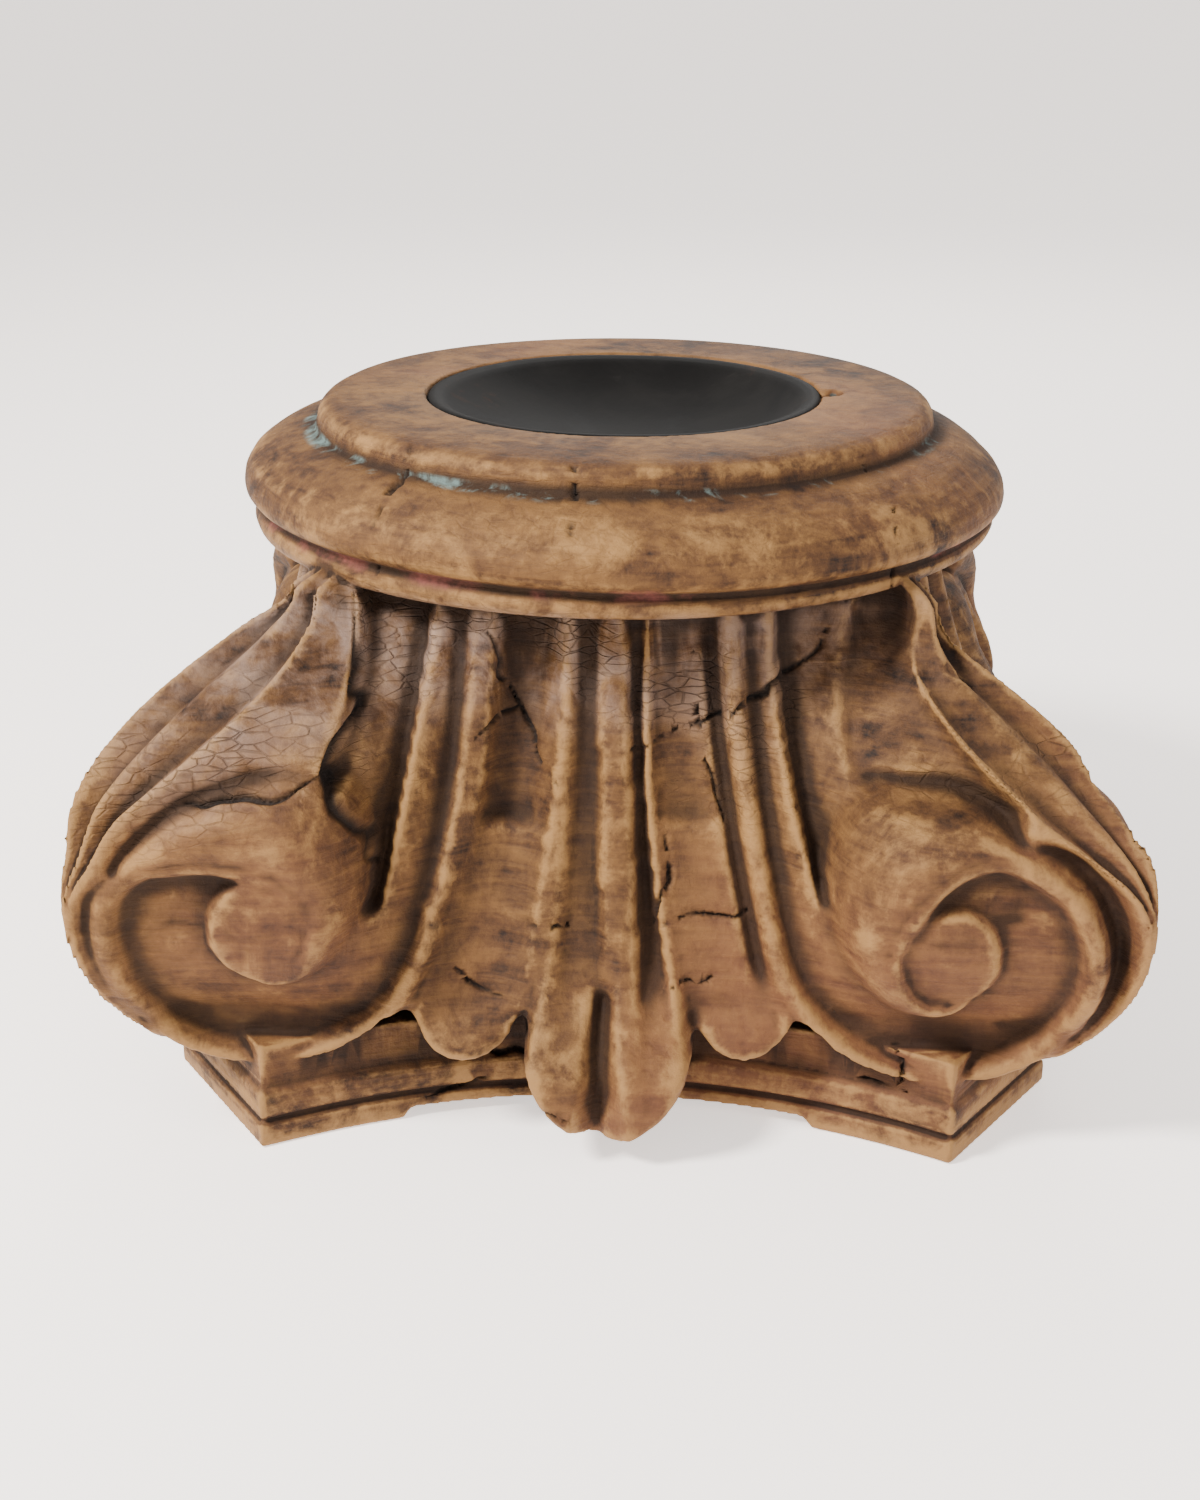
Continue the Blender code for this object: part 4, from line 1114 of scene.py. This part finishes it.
def weathered_wood(colours):
    """Dry wood: ochre edges of wear and painted highlight, umber painted shade in the hollows, pale bloom,
    traces of teal and rose paint.
    """
    f = Finish("weathered_wood")
    place = f.place()
    near, broad, cracked = f.kept("near_hollow"), f.kept("broad_hollow"), f.kept("cracked")
    x, z = (f.node("ShaderNodeSeparateXYZ", output=i, Vector=place) for i in (0, 2))
    patch = f.noise(place, 9.0, 5.0, 0.6, 0.4)
    broad_patch = f.noise(place, 4.5, 3.0, 0.5, 0.3)
    speck = f.noise(place, 160.0, 6.0, 0.7)
    mottle = f.noise(place, 42.0, 6.0, 0.65, 0.6)
    long_grain = f.noise(f.moved(place, (26.0, 26.0, 260.0)), 1.0, 5.0, 0.6, 0.5)
    streak = f.noise(f.moved(place, (120.0, 120.0, 26.0)), 1.0, 5.0, 0.65, 0.8)
    tone = patch * 0.24 + mottle * 0.26 + long_grain * 0.22 + speck * 0.18 + streak * 0.10
    tone = (tone - 0.5) * 2.5 + 0.5
    between = tuple(mix(a, b, 0.50) for a, b in zip(colours.brown, colours.ochre))
    stops = ((0.26, tuple(colours.umber)), (0.42, tuple(colours.brown)), (0.56, between))
    wood = f.node("ShaderNodeValToRGB", {"stops": (*stops, (0.74, tuple(colours.ochre)))}, Fac=tone)
    red = f.fade(broad_patch + mottle * 0.2, 0.56, 0.76) * 0.35
    wood = f.blend(red, wood, tuple(colours.red))
    # Open edges lightened towards pale ochre: partly wear, partly a painted highlight
    wear_and_highlight = f.fade(near * -1.0 + (mottle - 0.5) * 1.6 + (speck - 0.5) * 0.8, 0.06, 0.62)
    wear_and_highlight = wear_and_highlight * (1.0 - f.fade(z, 0.2445, 0.2460) * 0.7)
    wood = f.blend(wear_and_highlight * 0.78, wood, tinted(colours.ochre, 1.75, 1.95, 2.2))
    bloom = f.fade(z + (patch - 0.5) * 0.10, 0.135, 0.190) * (1.0 - f.fade(z, 0.196, 0.202))
    bloom = bloom * f.fade(mottle + streak * 0.4, 0.55, 0.85)
    bloom = bloom * f.fade(x + (patch - 0.5) * 0.10, 0.150, 0.020)
    wood = f.blend(bloom * 0.62, wood, tuple(colours.dust))
    # Painted shade: the hollows are darkened towards umber by how shut in they lie
    hollow_shade = f.fade(near + (mottle - 0.5) * 0.6, 0.06, 0.62)
    hollow_shade = hollow_shade.most(f.fade(broad + (patch - 0.5) * 0.4, 0.04, 0.56) * 0.95)
    wood = f.blend(hollow_shade * 0.85, wood, tinted(colours.umber, 0.8))
    wood = old_paint(f, wood, place, z, near, colours)
    wood = f.blend(f.fade(speck, 0.62, 0.80) * 0.35, wood, tinted(colours.umber, 0.7))
    wood = f.blend(cracked * 0.92, wood, tinted(colours.umber, 0.25))
    rough = (0.60 + mottle * 0.22 + hollow_shade * 0.10 - wear_and_highlight * 0.06).clamped()
    crazing = f.node("ShaderNodeTexVoronoi", {"feature": "DISTANCE_TO_EDGE"}, Scale=1.0,
                     Vector=f.moved(place, (110.0, 110.0, 330.0)))
    crazed = 1.0 - f.fade(crazing, 0.0, 0.09)
    crazed = crazed * f.fade(patch + mottle * 0.5, 0.72, 0.95) * f.fade(z, 0.10, 0.17)
    crazed = crazed * (1.0 - f.fade(z, 0.195, 0.203) * 0.8)
    wood = f.blend(crazed * 0.40, wood, tinted(colours.umber, 0.6))
    height = long_grain * 0.45 + speck * 0.40 + mottle * 0.40 + streak * 0.25 - crazed * 0.35
    return f.done(wood, rough, Normal=f.bump(height, 0.90, 0.0022), Specular_IOR_Level=0.22)


def dark_dish_metal(colours):
    """Dark painted metal with scuffs, dust and rust at the flange."""
    f = Finish("dark_dish_metal")
    place = f.place()
    cloud = f.noise(place, 28.0, 5.0, 0.6, 0.5)
    fine = f.noise(place, 210.0, 5.0, 0.7)
    base = f.blend(f.fade(cloud, 0.35, 0.75), tuple(colours.metal), tinted(colours.metal, 2.6))
    scuff = f.fade(f.noise(f.moved(place, (60.0, 210.0, 60.0)), 1.0, 6.0, 0.7, 0.6), 0.60, 0.78)
    base = f.blend(scuff * 0.16, base, tuple(colours.scuff))
    rust = f.fade(cloud + fine * 0.35, 0.80, 1.0)
    base = f.blend(rust * 0.4, base, tuple(colours.rust))
    rough = (0.50 + cloud * 0.22 + scuff * 0.16).clamped()
    bump = f.bump(cloud * 0.6 + fine * 0.4, 0.25, 0.0007)
    return f.done(base, rough, Normal=bump, Specular_IOR_Level=0.05)


def pale_floor(colours):
    """Matt floor with a faint glow of its own, as bright as the paper of a studio."""
    f = Finish("pale_floor")
    return f.done(tuple(colours.floor), FLOOR_ROUGH, Specular_IOR_Level=0.2,
                  Emission_Color=FLOOR_GLOW, Emission_Strength=1.1)


class COLUMNBASE_OT_carved_wood(bpy.types.Operator):
    """Carve the wooden body and give it its weathered finish"""

    bl_idname = "columnbase.carved_wood"
    bl_label = "Carved Wood"

    def execute(self, context):
        piece = build_wood(context.scene.column_base_sizes)
        piece.data.materials.clear()
        piece.data.materials.append(weathered_wood(context.scene.column_base_colours))
        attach(piece, "root")
        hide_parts(BODY_NODE)
        return {"FINISHED"}


class COLUMNBASE_OT_sunken_dish(bpy.types.Operator):
    """Turn the dark metal dish that sits in the top"""

    bl_idname = "columnbase.sunken_dish"
    bl_label = "Sunken Dish"

    def execute(self, context):
        piece = build_dish(context.scene.column_base_sizes)
        piece.data.materials.append(dark_dish_metal(context.scene.column_base_colours))
        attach(piece, "root")
        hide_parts(DISH_NODE)
        return {"FINISHED"}


def photo_camera():
    """Camera at the photograph's viewing angle."""
    focal_pixels, frame_pixels, distance = 2100.0, 1500.0, 0.9154
    tilt, yaw, roll = (math.radians(angle) for angle in (21.64, -2.12, -0.25))
    aim_z, aim_x = 0.08908, -0.00906
    forward = Vector((0.0, math.cos(tilt), -math.sin(tilt)))
    centre = Vector((aim_x, 0.0, aim_z)) - forward * distance
    up = Vector((1.0, 0.0, 0.0)).cross(forward)
    turn = Matrix(((1.0, 0.0, 0.0), (0.0, up.y, -forward.y), (0.0, up.z, -forward.z))).to_4x4()
    lens = bpy.data.cameras.new("photo_camera")
    lens.sensor_width = 36.0
    lens.lens = focal_pixels * lens.sensor_width / frame_pixels
    lens.clip_start = 0.01
    camera = bpy.data.objects.new("photo_camera", lens)
    around = Matrix.Rotation(-yaw, 4, "Z")
    rolled = Matrix.Rotation(-roll, 4, "Z")
    camera.matrix_world = around @ Matrix.Translation(centre) @ turn @ rolled
    bpy.context.scene.collection.objects.link(camera)
    bpy.context.scene.camera = camera


def soft_light(name, place, aimed_at, size, power, colour):
    data = bpy.data.lights.new(name, "AREA")
    data.shape = "DISK"
    data.size = size
    data.energy = power
    data.color = colour
    light = bpy.data.objects.new(name, data)
    light.location = place
    aim = Vector((0.0, 0.0, aimed_at)) - Vector(place)
    light.rotation_euler = aim.to_track_quat("-Z", "Y").to_euler()
    bpy.context.scene.collection.objects.link(light)


class COLUMNBASE_OT_stage(bpy.types.Operator):
    """Lay the pale floor, hang the soft lights and set the camera"""

    bl_idname = "columnbase.stage"
    bl_label = "Floor, Light and Camera"

    def execute(self, context):
        shape = bmesh.new()
        bmesh.ops.create_circle(shape, cap_ends=True, segments=96, radius=FLOOR_RADIUS)
        mesh = bpy.data.meshes.new("studio_floor")
        shape.to_mesh(mesh)
        shape.free()
        floor = add_piece("studio_floor", mesh)
        mesh.materials.append(pale_floor(context.scene.column_base_colours))
        photo_camera()
        for light in LIGHTS:
            soft_light(*light)
        world = bpy.data.worlds.new("studio_air")
        world.use_nodes = True
        air = world.node_tree.nodes["Background"]
        air.inputs["Color"].default_value = (*AIR_COLOUR, 1.0)
        air.inputs["Strength"].default_value = AIR_STRENGTH
        context.scene.world = world
        return {"FINISHED"}


class COLUMNBASE_PT_panel(bpy.types.Panel):
    """Sizes, colours and building steps of the column base"""

    bl_idname = "COLUMNBASE_PT_panel"
    bl_label = "Column Base"
    bl_space_type = "VIEW_3D"
    bl_region_type = "UI"
    bl_category = "Column Base"

    def draw(self, context):
        layout = self.layout
        for group in (context.scene.column_base_sizes, context.scene.column_base_colours):
            box = layout.box()
            for name in group.__annotations__:
                box.prop(group, name)
        for operator in OPERATORS:
            layout.operator(operator.bl_idname)


GROUPS = (ColumnBaseSizes, ColumnBaseColours)
OPERATORS = (COLUMNBASE_OT_carved_wood, COLUMNBASE_OT_sunken_dish, COLUMNBASE_OT_stage)


def register():
    for kind in (*GROUPS, *OPERATORS, COLUMNBASE_PT_panel):
        bpy.utils.register_class(kind)
    bpy.types.Scene.column_base_sizes = PointerProperty(type=ColumnBaseSizes)
    bpy.types.Scene.column_base_colours = PointerProperty(type=ColumnBaseColours)


def unregister():
    del bpy.types.Scene.column_base_colours
    del bpy.types.Scene.column_base_sizes
    for kind in reversed((*GROUPS, *OPERATORS, COLUMNBASE_PT_panel)):
        bpy.utils.unregister_class(kind)


def main():
    register()
    bpy.ops.columnbase.carved_wood()
    bpy.ops.columnbase.sunken_dish()
    bpy.ops.columnbase.stage()
    bpy.context.view_layer.update()


if __name__ == "__main__":
    main()
